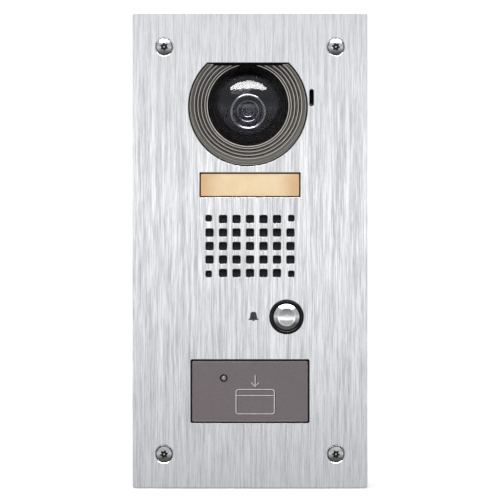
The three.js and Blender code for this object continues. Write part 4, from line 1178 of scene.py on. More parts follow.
class DOORPANEL_OT_faceplate(bpy.types.Operator):
    """Build the brushed faceplate with all its openings and welded studs"""

    bl_idname = "door_panel.faceplate"
    bl_label = "Faceplate"

    def grille_holes(self):
        columns, rows = 7, 5
        pitch, hole, end_hole, corner = 7.75, 4.4, 3.4, 0.9
        shift = (hole - end_hole) / 2
        holes = []
        for column in range(-(columns // 2), columns // 2 + 1):
            for row in range(-(rows // 2), rows // 2 + 1):
                at_end = abs(column) == columns // 2 and abs(row) == rows // 2
                size = (end_hole if at_end else hole) + 0.2
                x = GRILLE.x + column * pitch
                z = GRILLE.z + row * pitch
                if at_end:
                    x += math.copysign(shift, column)
                    z += math.copysign(shift, row)
                holes.append(rounded_rectangle(x, z, size, size, corner, 4))
        return holes

    def execute(self, context):
        settings = context.scene.door_panel_plate
        edge = settings.edge / MM
        opening_radius = settings.opening_radius / MM
        opening_flat = settings.opening_flat / MM
        lap = FLANGE_LAP
        opening_x = BEZEL_LOW.x + opening_radius + lap
        opening_z = BEZEL_LOW.z + opening_radius + lap
        loops = [
            rounded_rectangle(
                0, 0, PLATE_HIGH.x - PLATE_LOW.x, PLATE_HIGH.z - PLATE_LOW.z, 1.5, 8
            ),
            flat_topped_circle(opening_x, opening_z, opening_radius, opening_flat, 150),
            upright_slot(LEVER_SLOT_X, LEVER_SLOT_Z, LEVER_SLOT_WIDTH, LEVER_SLOT_HEIGHT),
            rounded_rectangle(NAME.x, NAME.z, *NAME_HOLE, 0.5, 4),
            circle_points(BUTTON.x, BUTTON.z, BUTTON_HOLE_RADIUS),
            rounded_rectangle(READER.x, READER.z, *READER_HOLE, 1.0, 6),
        ]
        mesh = sheet_mesh(loops + self.grille_holes(), PLATE_FRONT, PLATE_BACK, edge)
        dimple = settings.dimple / MM
        seat = [
            (0, PLATE_FRONT - 1),
            (dimple, PLATE_FRONT - 1),
            (dimple, PLATE_FRONT),
            (dimple - 0.25, PLATE_FRONT + 0.06),
            (dimple - 0.55, PLATE_FRONT + 0.34),
            (2.75, PLATE_FRONT + 2.0),
            (2.75, PLATE_BACK + 1),
            (0, PLATE_BACK + 1),
        ]
        seats = [
            spun_mesh(seat, middle_mm(node).x, middle_mm(node).z, 48) for node in SCREW_NODES
        ]
        mesh = carved(mesh, joined_mesh(seats))
        studs = [self.stud(middle_mm(node)) for node in CHASSIS_STUDS]
        mesh = carved(mesh, joined_mesh(studs), "UNION")
        finish_piece("faceplate_sheet", mesh, "brushed_stainless", replaces="faceplate")
        return {"FINISHED"}

    def stud(self, place):
        """Welded stud with a weld collar and thread ridges."""
        root = PLATE_BACK - 1.0
        tip = PLATE_BACK + 9.0
        profile = [(0, root), (1.9, root), (1.9, PLATE_BACK + 0.25), (1.5, PLATE_BACK + 0.45)]
        y = PLATE_BACK + 1.0
        while y < tip - 0.8:
            profile += [(1.5, y), (1.28, y + 0.25)]
            y += 0.5
        profile += [(1.28, tip - 0.3), (1.0, tip), (0, tip)]
        return spun_mesh(profile, place.x, place.z, 24)


class DOORPANEL_OT_mounting_screws(bpy.types.Operator):
    """Build the four raised countersunk screws with pinned star recesses"""

    bl_idname = "door_panel.mounting_screws"
    bl_label = "Mounting Screws"

    def execute(self, context):
        turns = (0.35, 1.2, 0.8, 0.1)
        for node, turn in zip(SCREW_NODES, turns):
            low, high = box_mm(node)
            place = (low + high) / 2
            head = (high.x - low.x) / 2
            crown = [(head * i / 8, low.y + 1.0 * (i / 8) ** 2) for i in range(9)]
            profile = crown + [(head, low.y + 1.2), (2.15, low.y + 3.3), (2.0, low.y + 3.6)]
            y = low.y + 4.2
            while y < high.y - 1.6:
                profile += [(2.0, y), (1.72, y + 0.3)]
                y += 0.7
            profile += [(1.7, high.y - 0.9), (1.0, high.y), (0, high.y)]
            mesh = spun_mesh(profile, segments=64)
            recess = sheet_mesh([star_points(6, 2.4, 1.6)], low.y - 1, low.y + 1.9, 0.05)
            recess.transform(Matrix.Rotation(turn, 4, "Y"))
            mesh = carved(mesh, recess)
            pin = spun_mesh(
                [(0, low.y + 0.45), (0.45, low.y + 0.45), (0.58, low.y + 0.6),
                 (0.58, low.y + 2.2), (0, low.y + 2.2)],
                segments=20,
            )
            mesh = carved(mesh, pin, "UNION")
            mesh.transform(Matrix.Translation((place.x * MM, 0, place.z * MM)))
            finish_piece(
                node.replace("mounting_screw", "panel_screw"), mesh,
                "polished_steel", replaces=node,
            )
        return {"FINISHED"}


# ------------------------------------------------------------ gasket, back box and grommet


class DOORPANEL_OT_back_box(bpy.types.Operator):
    """Build the foam gasket, the galvanised back box and its cable grommet"""

    bl_idname = "door_panel.back_box"
    bl_label = "Back Box and Gasket"

    sheet = 1.2

    def tray(self):
        """Pressed tray, open at the front, with one wall thickness all round."""
        width = BOX_HIGH.x - BOX_LOW.x
        height = BOX_HIGH.z - BOX_LOW.z
        bm = bmesh.new()
        bmesh.ops.create_grid(bm, x_segments=1, y_segments=1, size=0.5)
        bmesh.ops.scale(bm, verts=bm.verts, vec=(width * MM, height * MM, 1))
        bmesh.ops.bevel(
            bm,
            geom=list(bm.verts),
            offset=2.5 * MM,
            offset_type="OFFSET",
            segments=6,
            profile=0.5,
            affect="VERTICES",
            material=-1,
        )
        bmesh.ops.rotate(bm, verts=bm.verts, matrix=Matrix.Rotation(math.radians(90), 3, "X"))
        bmesh.ops.translate(bm, verts=bm.verts, vec=(0, BOX_HIGH.y * MM, 0))
        floor = list(bm.faces)
        made = bmesh.ops.extrude_face_region(bm, geom=floor)["geom"]
        moved = [part for part in made if isinstance(part, bmesh.types.BMVert)]
        depth = BOX_HIGH.y - BOX_LOW.y
        bmesh.ops.translate(bm, verts=moved, vec=(0, -depth * MM, 0))
        open_front = [
            face for face in bm.faces if abs(face.calc_center_median().y - BOX_LOW.y * MM) < MM / 10
        ]
        bmesh.ops.delete(bm, geom=open_front, context="FACES")
        bmesh.ops.recalc_face_normals(bm, faces=bm.faces)
        back_edges = [
            e
            for e in bm.edges
            if len(e.link_faces) == 2
            and all(abs(v.co.y - BOX_HIGH.y * MM) < MM / 100 for v in e.verts)
        ]
        bmesh.ops.bevel(
            bm,
            geom=back_edges,
            offset=1.2 * MM,
            offset_type="OFFSET",
            segments=4,
            profile=0.5,
            affect="EDGES",
            clamp_overlap=True,
            material=-1,
        )
        bmesh.ops.recalc_face_normals(bm, faces=bm.faces)
        bmesh.ops.solidify(bm, geom=list(bm.faces), thickness=self.sheet * MM)
        bmesh.ops.recalc_face_normals(bm, faces=bm.faces)
        return mesh_from(bm)

    def knockout(self, x, y, z, direction):
        """Cutter for the broken groove round a push-out disc."""
        ring = sheet_mesh(
            [circle_points(0, 0, 10.0, 64), circle_points(0, 0, 9.3, 64)], -0.55, 1.5, 0.02
        )
        bridges = [
            block_mesh((-11, -2, -0.9), (-8, 2, 0.9)),
            block_mesh((8, -2, -0.9), (11, 2, 0.9)),
        ]
        ring = carved(ring, joined_mesh(bridges))
        spin = Vector((0, 1, 0)).rotation_difference(Vector(direction)).to_matrix().to_4x4()
        ring.transform(Matrix.Translation(Vector((x, y, z)) * MM) @ spin)
        return ring

    def execute(self, context):
        outer = rounded_rectangle(
            0, 0, GASKET_HIGH.x - GASKET_LOW.x, GASKET_HIGH.z - GASKET_LOW.z, 1.5, 6
        )
        rim = 9.0
        inner = rounded_rectangle(
            0,
            0,
            GASKET_HIGH.x - GASKET_LOW.x - 2 * rim,
            GASKET_HIGH.z - GASKET_LOW.z - 2 * rim,
            2.5,
            6,
        )
        finish_piece(
            "foam_gasket", sheet_mesh([outer, inner], GASKET_LOW.y, GASKET_HIGH.y, 0.4, 2),
            "foam", replaces="wall_gasket",
        )
        mesh = self.tray()
        inside_x = BOX_HIGH.x - self.sheet
        inside_z = BOX_HIGH.z - self.sheet
        floor = BOX_HIGH.y - self.sheet
        lugs = []
        cutters = []
        for node in SCREW_NODES:
            place = middle_mm(node)
            side_x = math.copysign(1, place.x)
            side_z = math.copysign(1, place.z)
            near = (inside_x + 0.6 - 11.0) * side_x
            far = (inside_x + 0.6) * side_x
            low_z = (inside_z + 0.6 - 12.8) * side_z
            high_z = (inside_z + 0.6) * side_z
            lugs.append(
                block_mesh(
                    (min(near, far), 0.8, min(low_z, high_z)),
                    (max(near, far), 3.2, max(low_z, high_z)),
                    0.5,
                )
            )
            cutters.append(
                spun_mesh(
                    [(0, -1), (2.3, -1), (2.3, 12), (0, 12)], place.x, place.z, 32
                )
            )
            slot = upright_slot(38 * side_x, 88 * side_z, 4.5, 11, 10)
            cutters.append(sheet_mesh([slot], floor - 1, BOX_HIGH.y + 1, 0.02))
        mesh = carved(mesh, joined_mesh(lugs), "UNION")
        cutters.append(
            spun_mesh(
                [(0, floor - 1), (9.5, floor - 1), (9.5, BOX_HIGH.y + 1), (0, BOX_HIGH.y + 1)],
                GROMMET.x,
                GROMMET.z,
                64,
            )
        )
        for side in (-1, 1):
            cutters.append(self.knockout(0, 24, side * BOX_HIGH.z, (0, 0, side)))
            cutters.append(self.knockout(side * BOX_HIGH.x, 24, 0, (side, 0, 0)))
        mesh = carved(mesh, joined_mesh(cutters))
        finish_piece("steel_back_box", mesh, "galvanised_steel", replaces="back_box")
        low, high = GROMMET_LOW.y, GROMMET_HIGH.y
        neck = 9.2
        profile = [
            (6.0, low + 0.3), (6.4, low), (11.4, low), (12.0, low + 0.35), (12.0, floor - 0.02),
            (neck, floor - 0.02), (neck, BOX_HIGH.y + 0.02), (12.0, BOX_HIGH.y + 0.02),
            (12.0, high - 0.35), (11.4, high), (6.4, high), (6.0, high - 0.3),
            (5.85, (low + high) / 2),
        ]
        finish_piece(
            "rubber_grommet", spun_mesh(profile, GROMMET.x, GROMMET.z, 72),
            "black_rubber", replaces="cable_grommet",
        )
        return {"FINISHED"}


# ------------------------------------------------------------ camera


class DOORPANEL_OT_camera_bezel(bpy.types.Operator):
    """Build the ridged bezel that funnels down to the camera dome"""

    bl_idname = "door_panel.camera_bezel"
    bl_label = "Camera Bezel"

    def execute(self, context):
        plate = context.scene.door_panel_plate
        camera = context.scene.door_panel_camera
        radius = plate.opening_radius / MM
        flat = plate.opening_flat / MM
        lap = FLANGE_LAP
        x = BEZEL_LOW.x + radius + lap
        z = BEZEL_LOW.z + radius + lap
        front = BEZEL_LOW.y
        back = box_mm("chassis")[0].y
        flange = box_mm("bezel_gasket")[1].y
        floor = box_mm("dome_seal")[0].y
        neck_back = BEZEL_HIGH.y
        inner = camera.funnel_radius / MM
        tread, riser, step = 1.1, 0.9, 1.5
        rim = 1.9
        face = sheet_mesh(
            [flat_topped_circle(x, z, radius - 0.8, flat - 0.8, 150)], front, back, 0.2, 2
        )
        behind = sheet_mesh(
            [flat_topped_circle(x, z, radius + lap, flat + lap, 150)], flange, back, 0.15
        )
        neck_radius = 29.9
        neck = spun_mesh(
            [(0, flange + 0.1), (neck_radius, flange + 0.1), (neck_radius, neck_back - 0.2),
             (neck_radius - 0.2, neck_back), (0, neck_back)],
            DOME.x, DOME.z, 120,
        )
        inside = sheet_mesh(
            [flat_topped_circle(x, z, radius - 1.4, flat - 1.4, 150)], flange - 1, back + 1, 0.05
        )
        finish_piece("bezel_flange", carved(behind, inside), "matt_black")
        mesh = carved(face, neck, "UNION")
        profile = [(0, floor + 1), (inner, floor + 1), (inner, floor)]
        for i in range(camera.ridges):
            start = inner + i * (tread + riser)
            y = floor - i * step
            profile += [(start + tread, y), (start + tread + riser, y - step)]
            if i == 0:
                profile[-2] = (start + 0.55, y)
                profile.insert(-1, (start + tread, y - 0.25))
        edge = inner + camera.ridges * (tread + riser)
        lip = floor - camera.ridges * step
        profile += [
            (edge + 0.25, lip),
            (edge + rim * 0.55, lip - rim * 0.35),
            (edge + rim, front),
            (edge + rim, front - 2),
            (0, front - 2),
        ]
        tool = spun_bmesh(profile, 120)
        soften_edges(tool, 0.14, 2, 22)
        tool_mesh = mesh_from(tool)
        tool_mesh.transform(Matrix.Translation((DOME.x * MM, 0, DOME.z * MM)))
        mesh = carved(mesh, tool_mesh)
        pocket_radius = 26.9
        pocket = spun_mesh(
            [(0, floor), (pocket_radius, floor), (pocket_radius, neck_back + 1), (0, neck_back + 1)],
            DOME.x, DOME.z, 120,
        )
        mesh = carved(mesh, pocket)
        left = LEVER_SLOT_X - LEVER_SLOT_WIDTH / 2 - 0.3
        reach = 6.95
        notch = block_mesh(
            (left, front - 1, LEVER_SLOT_Z - reach), (left + 9, 3, LEVER_SLOT_Z + reach)
        )
        mesh = carved(mesh, notch)
        finish_piece("funnel_bezel", mesh, "bezel_plastic", replaces="camera_bezel")
        return {"FINISHED"}


def sphere_profile(radius, start, end, steps, centre=0.0):
    """(radius, y) points along a ball's front, by angle from its pole."""
    turns = [start + (end - start) * i / steps for i in range(steps + 1)]
    return [(radius * math.sin(t), centre - radius * math.cos(t)) for t in turns]


class DOORPANEL_OT_camera_dome(bpy.types.Operator):
    """Build the smoked dome in front of the camera"""

    bl_idname = "door_panel.camera_dome"
    bl_label = "Camera Dome"

    def execute(self, context):
        radius = context.scene.door_panel_camera.dome_radius / MM
        wall = 2.0
        low, high = box_mm("camera_dome")
        flange_radius = (high.x - low.x) / 2
        flange_start = high.y - 2.0
        start = math.acos((PIVOT.y - flange_start) / radius)
        inside = math.acos((PIVOT.y - high.y) / (radius - wall))
        outer = sphere_profile(radius, 0, start, 40, PIVOT.y)
        inner = sphere_profile(radius - wall, inside, 0, 40, PIVOT.y)
        rim = [
            (flange_radius - 0.2, flange_start),
            (flange_radius, flange_start + 0.2),
            (flange_radius, high.y - 0.2),
            (flange_radius - 0.2, high.y),
        ]
        finish_piece(
            "smoked_camera_dome", spun_mesh(outer + rim + inner, DOME.x, DOME.z, 128, closed=False),
            "smoked_dome", replaces="camera_dome",
        )
        return {"FINISHED"}


class DOORPANEL_OT_camera_head(bpy.types.Operator):
    """Build the tilting camera: its round shroud, lens barrel, front glass and lever"""

    bl_idname = "door_panel.camera_head"
    bl_label = "Camera Head"

    def placed(self, mesh):
        """Tilts a mesh drawn with the lens along -y, and puts it on the pivot."""
        tilt = Matrix.Rotation(LOOK_DOWN, 4, "X")
        mesh.transform(Matrix.Translation(PIVOT * MM) @ tilt)
        return mesh

    def shroud(self):
        outer_radius, wall = 24.3, 1.8
        barrel = 7.3
        mouth = math.asin(barrel / outer_radius)
        reach = math.radians(88)
        shell = spun_mesh(
            sphere_profile(outer_radius, mouth, reach, 28)
            + sphere_profile(outer_radius - wall, reach, mouth, 28),
            segments=96,
        )
        tube_outer = 11.0
        tube = spun_mesh(
            [(barrel, LENS_FRONT + 0.4), (tube_outer - 0.3, LENS_FRONT + 0.4),
             (tube_outer, LENS_FRONT + 0.7), (tube_outer, HEAD_BACK), (barrel, HEAD_BACK)],
            segments=96,
        )
        mesh = carved(shell, tube, "UNION")
        for side in (-1, 1):
            boss = spun_mesh(
                [(0, 21.9), (4.0, 21.9), (4.0, 25.2), (3.7, 25.5), (0, 25.5)], segments=40
            )
            boss.transform(Matrix.Rotation(-side * math.pi / 2, 4, "Z"))
            mesh = carved(mesh, boss, "UNION")
        pin = spun_mesh(
            [(0, 24.3), (2.0, 24.3), (2.0, 29.4), (1.7, 29.7), (0, 29.7)], segments=32
        )
        pin.transform(Matrix.Rotation(math.pi / 2, 4, "Z"))
        mesh = carved(mesh, pin, "UNION")
        seat = spun_mesh([(0, -30), (10.2, -30), (10.2, -20.4), (0, -20.4)], segments=96)
        return carved(mesh, seat)

    def barrel(self):
        """Lens barrel with a front lip and stepped baffles."""
        front = LENS_FRONT
        profile = [
            (9.8, front + 1.5),
            (9.8, front + 0.75),
            (9.6, front + 0.6),
            (8.75, front + 0.6),
        ]
        radius, y = 8.75, front + 0.6
        for _ in range(6):
            profile += [(radius, y + 0.3), (radius - 0.12, y + 0.38), (radius - 0.45, y + 0.42)]
            radius -= 0.62
            y += 0.62
            profile += [(radius + 0.12, y - 0.2)]
        mouth = 3.5
        profile += [
            (radius, y + 0.3),
            (4.4, y + 0.55),
            (mouth, y + 0.6),
            (mouth, HEAD_BACK - 2.0),
            (1.6, HEAD_BACK - 2.0),
            (1.6, HEAD_BACK),
            (7.0, HEAD_BACK),
            (7.0, front + 1.5),
        ]
        return spun_mesh(profile, segments=96)

    def trim_ring(self, inner, outer, front, inner_slope, outer_slope):
        """Bright ring with a sloped inner and outer edge, 35 degrees each."""
        fall = math.tan(math.radians(35))
        profile = [
            (outer, front + 0.9),
            (outer, front + outer_slope * fall),
            (outer - outer_slope, front),
            (inner + inner_slope, front),
            (inner, front + inner_slope * fall),
            (inner, front + 0.9),
        ]
        return spun_mesh(profile, segments=96)

    def glass(self):
        radius, crown = 3.2, 4.2
        front = LENS_FRONT + 0.4 + 3 * 1.1
        reach = math.asin(radius / crown)
        face = sphere_profile(crown, 0, reach, 16, front + crown)
        back = HEAD_BACK - 2.0 - 0.3
        return spun_mesh(face + [(radius, back), (0, back)], segments=64, closed=False)

    def execute(self, context):
        finish_piece(
            "camera_shroud", self.placed(self.shroud()),
            "matt_black", body="camera", replaces="camera_cradle",
        )
        finish_piece(
            "lens_barrel_turned", self.placed(self.barrel()),
            "gloss_black", body="camera", replaces="lens_barrel",
        )
        front = LENS_FRONT
        trims = [
            self.trim_ring(8.85, 9.95, front - 0.02, 0.7, 0.35),
            self.trim_ring(5.75, 6.15, front + 2.3, 0.16, 0.1),
            self.trim_ring(3.25, 3.6, front + 3.4, 0.14, 0.1),
        ]
        finish_piece(
            "lens_trim_rings", self.placed(joined_mesh(trims)),
            "black_chrome", body="camera",
        )
        finish_piece(
            "front_glass", self.placed(self.glass()),
            "lens_glass", body="camera", replaces="lens_glass",
        )
        finish_piece(
            "tilt_lever_moulded", softened_copy("tilt_lever", 0.15),
            "black_plastic", body="camera", replaces="tilt_lever",
        )
        return {"FINISHED"}


# ------------------------------------------------------------ name plate


class DOORPANEL_OT_name_plate(bpy.types.Operator):
    """Build the amber name window with its clipped flange"""

    bl_idname = "door_panel.name_plate"
    bl_label = "Name Window"

    def execute(self, context):
        front = NAME_LOW.y
        back = NAME_HIGH.y
        flange = box_mm("name_gasket")[1].y
        gap = 0.7
        lap = FLANGE_LAP
        width, height = NAME_HOLE
        pane = sheet_mesh(
            [rounded_rectangle(NAME.x, NAME.z, width - 2 * gap, height - 2 * gap, 0.4, 4)],
            front, back, 0.25, 2,
        )
        lip = sheet_mesh(
            [rounded_rectangle(NAME.x, NAME.z, width + 2 * lap, height + 2 * lap, 0.6, 4)],
            flange, back, 0.1,
        )
        hollow = sheet_mesh(
            [rounded_rectangle(NAME.x, NAME.z, width - 2.2, height - 2.2, 0.4, 4)],
            flange - 1, back + 1, 0.05,
        )
        finish_piece("name_window_flange", carved(lip, hollow), "matt_black")
        finish_piece("amber_pane", pane, "amber_window", replaces="name_window")
        return {"FINISHED"}


# ------------------------------------------------------------ call button


class DOORPANEL_OT_call_button(bpy.types.Operator):
    """Build the call button: black surround, turned steel cap and its spring"""

    bl_idname = "door_panel.call_button"
    bl_label = "Call Button"

    def surround(self):
        front = RING_LOW.y
        flange = box_mm("button_gasket")[1].y
        lip = (RING_HIGH.x - RING_LOW.x) / 2
        chassis_front = box_mm("chassis")[0].y
        bore, outer = 7.9, 9.55
        floor = RING_HIGH.y
        seat = floor - 2
        profile = [
            (bore, front + 0.75), (bore + 0.12, front + 0.4), (bore + 0.38, front + 0.12),
            (8.55, front), (8.95, front), (9.25, front + 0.14), (9.47, front + 0.42),
            (outer, front + 0.8), (outer, flange), (lip - 0.1, flange), (lip, flange + 0.1),
            (lip, chassis_front - 0.1), (lip - 0.1, chassis_front), (outer, chassis_front),
            (outer, floor - 0.3), (outer - 0.3, floor), (3.3, floor), (3.3, seat), (bore, seat),
        ]
        return spun_mesh(profile, BUTTON.x, BUTTON.z, 96)

    def cap(self, settings):
        front = CAP_LOW.y
        radius = (CAP_HIGH.x - CAP_LOW.x) / 2
        chamfer = settings.chamfer / MM
        dish = settings.dish / MM
        disc = radius - chamfer
        base = 0.0
        ring = box_mm("button_clip")
        groove_front = ring[0].y - 0.15
        pip = 0.42
        profile = [(0, front + dish + 0.32), (pip * 0.7, front + dish + 0.3), (pip, front + dish)]
        for i in range(1, 9):
            share = i / 8
            r = pip + (disc - 0.2 - pip) * share
            profile.append((r, front + dish * (1 - share**2) + 0.02))
        profile += [
            (disc - 0.1, front + 0.02),
            (disc, front + 0.2),
            (disc + 0.1, front + 0.02),
            (disc + 0.2, front + 0.03),
            (disc + 0.35, front + 0.1),
            (radius - 0.25, front + 1.02),
            (radius - 0.06, front + 1.2),
            (radius, front + 1.45),
            (radius, base),
            (3.0, base),
            (3.0, groove_front),
            (2.3, groove_front),
            (2.3, groove_front + 0.8),
            (3.0, groove_front + 0.8),
            (3.0, CAP_HIGH.y - 0.2),
            (2.8, CAP_HIGH.y),
            (0, CAP_HIGH.y),
        ]
        return spun_mesh(profile, BUTTON.x, BUTTON.z, 96, closed=False)

    def spring(self):
        """Return spring wound from round wire, between the surround's floor and the cap."""
        low, high = box_mm("button_spring")
        wire, turns, steps = 0.5, 3.5, 28
        mean = (high.x - low.x) / 2 - wire / 2
        rise = high.y - low.y - wire
        bm = bmesh.new()
        bmesh.ops.create_circle(bm, segments=10, radius=wire / 2 * MM)
        bmesh.ops.translate(bm, verts=bm.verts, vec=(mean * MM, (low.y + wire / 2) * MM, 0))
        bmesh.ops.spin(
            bm,
            geom=list(bm.verts) + list(bm.edges),
            cent=(0, 0, 0),
            axis=(0, 1, 0),
            dvec=(0, rise * MM / (turns * steps), 0),
            angle=FULL_TURN * turns,
            steps=int(turns * steps),
            use_merge=False,
            use_duplicate=False,
        )
        bmesh.ops.remove_doubles(bm, verts=bm.verts, dist=MM / 2000)
        bmesh.ops.holes_fill(bm, edges=bm.edges, sides=0)
        bmesh.ops.recalc_face_normals(bm, faces=bm.faces)
        bmesh.ops.translate(bm, verts=bm.verts, vec=(BUTTON.x * MM, 0, BUTTON.z * MM))
        return mesh_from(bm)

    def execute(self, context):
        wound = finish_piece(
                    "button_spring_wound", self.spring(),
                    SLOTS["button_spring"], replaces="button_spring", smooth=50,
                )
        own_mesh(wound)
        finish_piece(
            "button_surround", self.surround(),
            "gloss_black", replaces="button_bezel",
        )
        finish_piece(
            "button_cap_turned", self.cap(context.scene.door_panel_button),
            "turned_steel", body="call_button", replaces="button_cap",
        )
        return {"FINISHED"}


# ------------------------------------------------------------ printed symbols


def ribbon_mesh(strokes, width, front, back):
    """Printed lines of even width with round ends, along runs of (x, z) points."""
    curve = bpy.data.curves.new("stroke", "CURVE")
    curve.dimensions = "3D"
    curve.bevel_mode = "ROUND"
    curve.bevel_depth = width / 2 * MM
    curve.bevel_resolution = 2
    curve.use_fill_caps = True
    for stroke in strokes:
        spline = curve.splines.new("POLY")
        spline.points.add(len(stroke) - 1)
        for point, (x, z) in zip(spline.points, stroke):
            point.co = (x * MM, 0, z * MM, 1)
    mesh = mesh_of_curve(curve)
    flatten = Matrix.Diagonal((1, (back - front) / width, 1, 1))
    mesh.transform(Matrix.Translation((0, (front + back) / 2 * MM, 0)) @ flatten)
    return tidy_mesh(mesh)


def curved_stroke(points, steps=6):
    """Smooth run of points through the given ones."""
    ends = [points[0], *points, points[-1]]
    smooth = []
    for a, b, c, d in zip(ends, ends[1:], ends[2:], ends[3:]):
        for i in range(steps):
            t = i / steps
            smooth.append(
                tuple(
                    0.5
                    * (
                        2 * q
                        + (r - p) * t
                        + (2 * p - 5 * q + 4 * r - s) * t**2
                        + (3 * q - p - 3 * r + s) * t**3
                    )
                    for p, q, r, s in zip(a, b, c, d)
                )
            )
    smooth.append(points[-1])
    return smooth


class DOORPANEL_OT_bell_symbol(bpy.types.Operator):
    """Print a plain bell beside the call button"""

    bl_idname = "door_panel.bell_symbol"
    bl_label = "Bell Symbol"

    def execute(self, context):
        settings = context.scene.door_panel_symbols
        size = settings.bell / MM
        x, z = BUTTON.x - 19.0, BUTTON.z + 0.4
        side = [(0.1, 0.5), (0.3, 0.38), (0.36, 0.1), (0.42, -0.2), (0.56, -0.36)]
        right = curved_stroke([(x + px * size, z + pz * size) for px, pz in side])
        left = curved_stroke([(x - px * size, z + pz * size) for px, pz in side])
        foot = [left[-1], right[-1]]
        clapper = arc_points(x, z - 0.42 * size, 0.12 * size, math.pi, FULL_TURN, 8)
        outline = sheet_mesh(
            [[*right, *reversed(left)]], PLATE_FRONT - PRINT, PLATE_FRONT + PRINT, 0.01
        )
        base = ribbon_mesh([foot], settings.line / MM, PLATE_FRONT - PRINT, PLATE_FRONT + PRINT)
        drop = sheet_mesh([clapper], PLATE_FRONT - PRINT, PLATE_FRONT + PRINT, 0.01)
        finish_piece(
            "bell_symbol", joined_mesh([outline, base, drop]),
            "dark_ink",
        )
        return {"FINISHED"}


# ------------------------------------------------------------ card reader


class DOORPANEL_OT_card_reader(bpy.types.Operator):
    """Build the reader's window, its lamp and the printed card symbol"""

    bl_idname = "door_panel.card_reader"
    bl_label = "Card Reader"

    def cover(self):
        front = READER_LOW.y
        chamfer = 0.6
        gap = 0.8
        hole_width, hole_height = READER_HOLE
        width = hole_width - 2 * gap
        height = hole_height - 2 * gap
        back = box_mm("chassis")[0].y
        flange = box_mm("reader_gasket")[1].y
        face = sheet_mesh(
            [rounded_rectangle(READER.x, READER.z, width, height, 1.1, 6)],
            front, 2 * back - front, chamfer, 0,
        )
        trim = block_mesh((-50, back, READER.z - 30), (50, back + 6, READER.z + 30))
        face = carved(face, trim)
        lap = 3.0
        lip = sheet_mesh(
            [rounded_rectangle(
                READER.x, READER.z, hole_width + 2 * lap, hole_height + 2 * lap, 1.2, 6
            )],
            flange, back, 0.1,
        )
        hollow = sheet_mesh(
            [rounded_rectangle(READER.x, READER.z, width - 1, height - 1, 1.0, 6)],
            flange - 1, back + 1, 0.05,
        )
        finish_piece(
            "reader_window_flange", carved(lip, hollow),
            "matt_black",
        )
        lamp = [
            (0, front - 1), (2.35, front - 1), (2.35, front), (2.1, front + 0.35),
            (1.8, front + 0.5), (1.8, back + 1), (0, back + 1),
        ]
        return carved(face, spun_mesh(lamp, READER_LAMP.x, READER_LAMP.z, 48))

    def lamp(self):
        low, high = box_mm("reader_led")
        profile = [
            (0, low.y + 0.15), (0.5, low.y + 0.19), (1.0, low.y + 0.36), (1.35, low.y + 0.65),
            (1.5, low.y + 1.0), (1.5, high.y), (0, high.y),
        ]
        return spun_mesh(profile, READER_LAMP.x, READER_LAMP.z, 40, closed=False)

    def symbol_strokes(self):
        """A card lying level, with its stripe, and an arrow that points down at it."""
        width, height, corner = 22.0, 14.0, 1.4
        x, z = READER.x + 3.0, READER.z - 6.0
        outline = rounded_rectangle(x, z, width, height, corner)
        stripe_z = z + height / 4
        stripe = [(x - width / 2, stripe_z), (x + width / 2, stripe_z)]
        gap, length, barb = 1.8, 6.4, 2.2
        tip = z + height / 2 + gap
        shaft = [(x, tip + length), (x, tip)]
        head = [(x - barb, tip + barb), (x, tip), (x + barb, tip + barb)]
        return [[*outline, outline[0]], stripe, shaft, head]

    def execute(self, context):
        finish_piece("reader_window", self.cover(), "reader_plastic", replaces="reader_cover")
        finish_piece(
            "reader_lamp", self.lamp(),
            "lamp_lens", replaces="reader_led",
        )
        line = context.scene.door_panel_symbols.line / MM
        front = READER_LOW.y
        ring = [
            (1.55, front + 0.3), (1.7, front + 0.02), (2.2, front), (2.32, front + 0.12),
            (2.32, front + 0.34), (1.9, front + 0.5), (1.55, front + 0.5),
        ]
        finish_piece(
            "reader_lamp_ring", spun_mesh(ring, READER_LAMP.x, READER_LAMP.z, 48),
            "gloss_black",
        )
        strokes = self.symbol_strokes()
        # Painted shadow: the strokes again in dark ink, moved right and down, beside the pale lines.
        shaded = [[(px + 0.42, pz - 0.3) for px, pz in stroke] for stroke in strokes]
        finish_piece(
            "card_symbol_shade", ribbon_mesh(shaded, line, front - PRINT, front + PRINT),
            "dark_ink",
        )
        finish_piece(
            "card_symbol", ribbon_mesh(strokes, line, front - 0.04, front + 0.04),
            "pale_ink",
        )
        return {"FINISHED"}


# ------------------------------------------------------------ pieces kept from the frame


class DOORPANEL_OT_kept_pieces(bpy.types.Operator):
    """Give every piece that is kept from the frame its finish"""

    bl_idname = "door_panel.kept_pieces"
    bl_label = "Kept Pieces"

    def execute(self, context):
        for node, kept in frame["nodes"].items():
            kept.data.materials.clear()
            kept.data.materials.append(finish_for(SLOTS[node]))
        return {"FINISHED"}


# ------------------------------------------------------------ studio


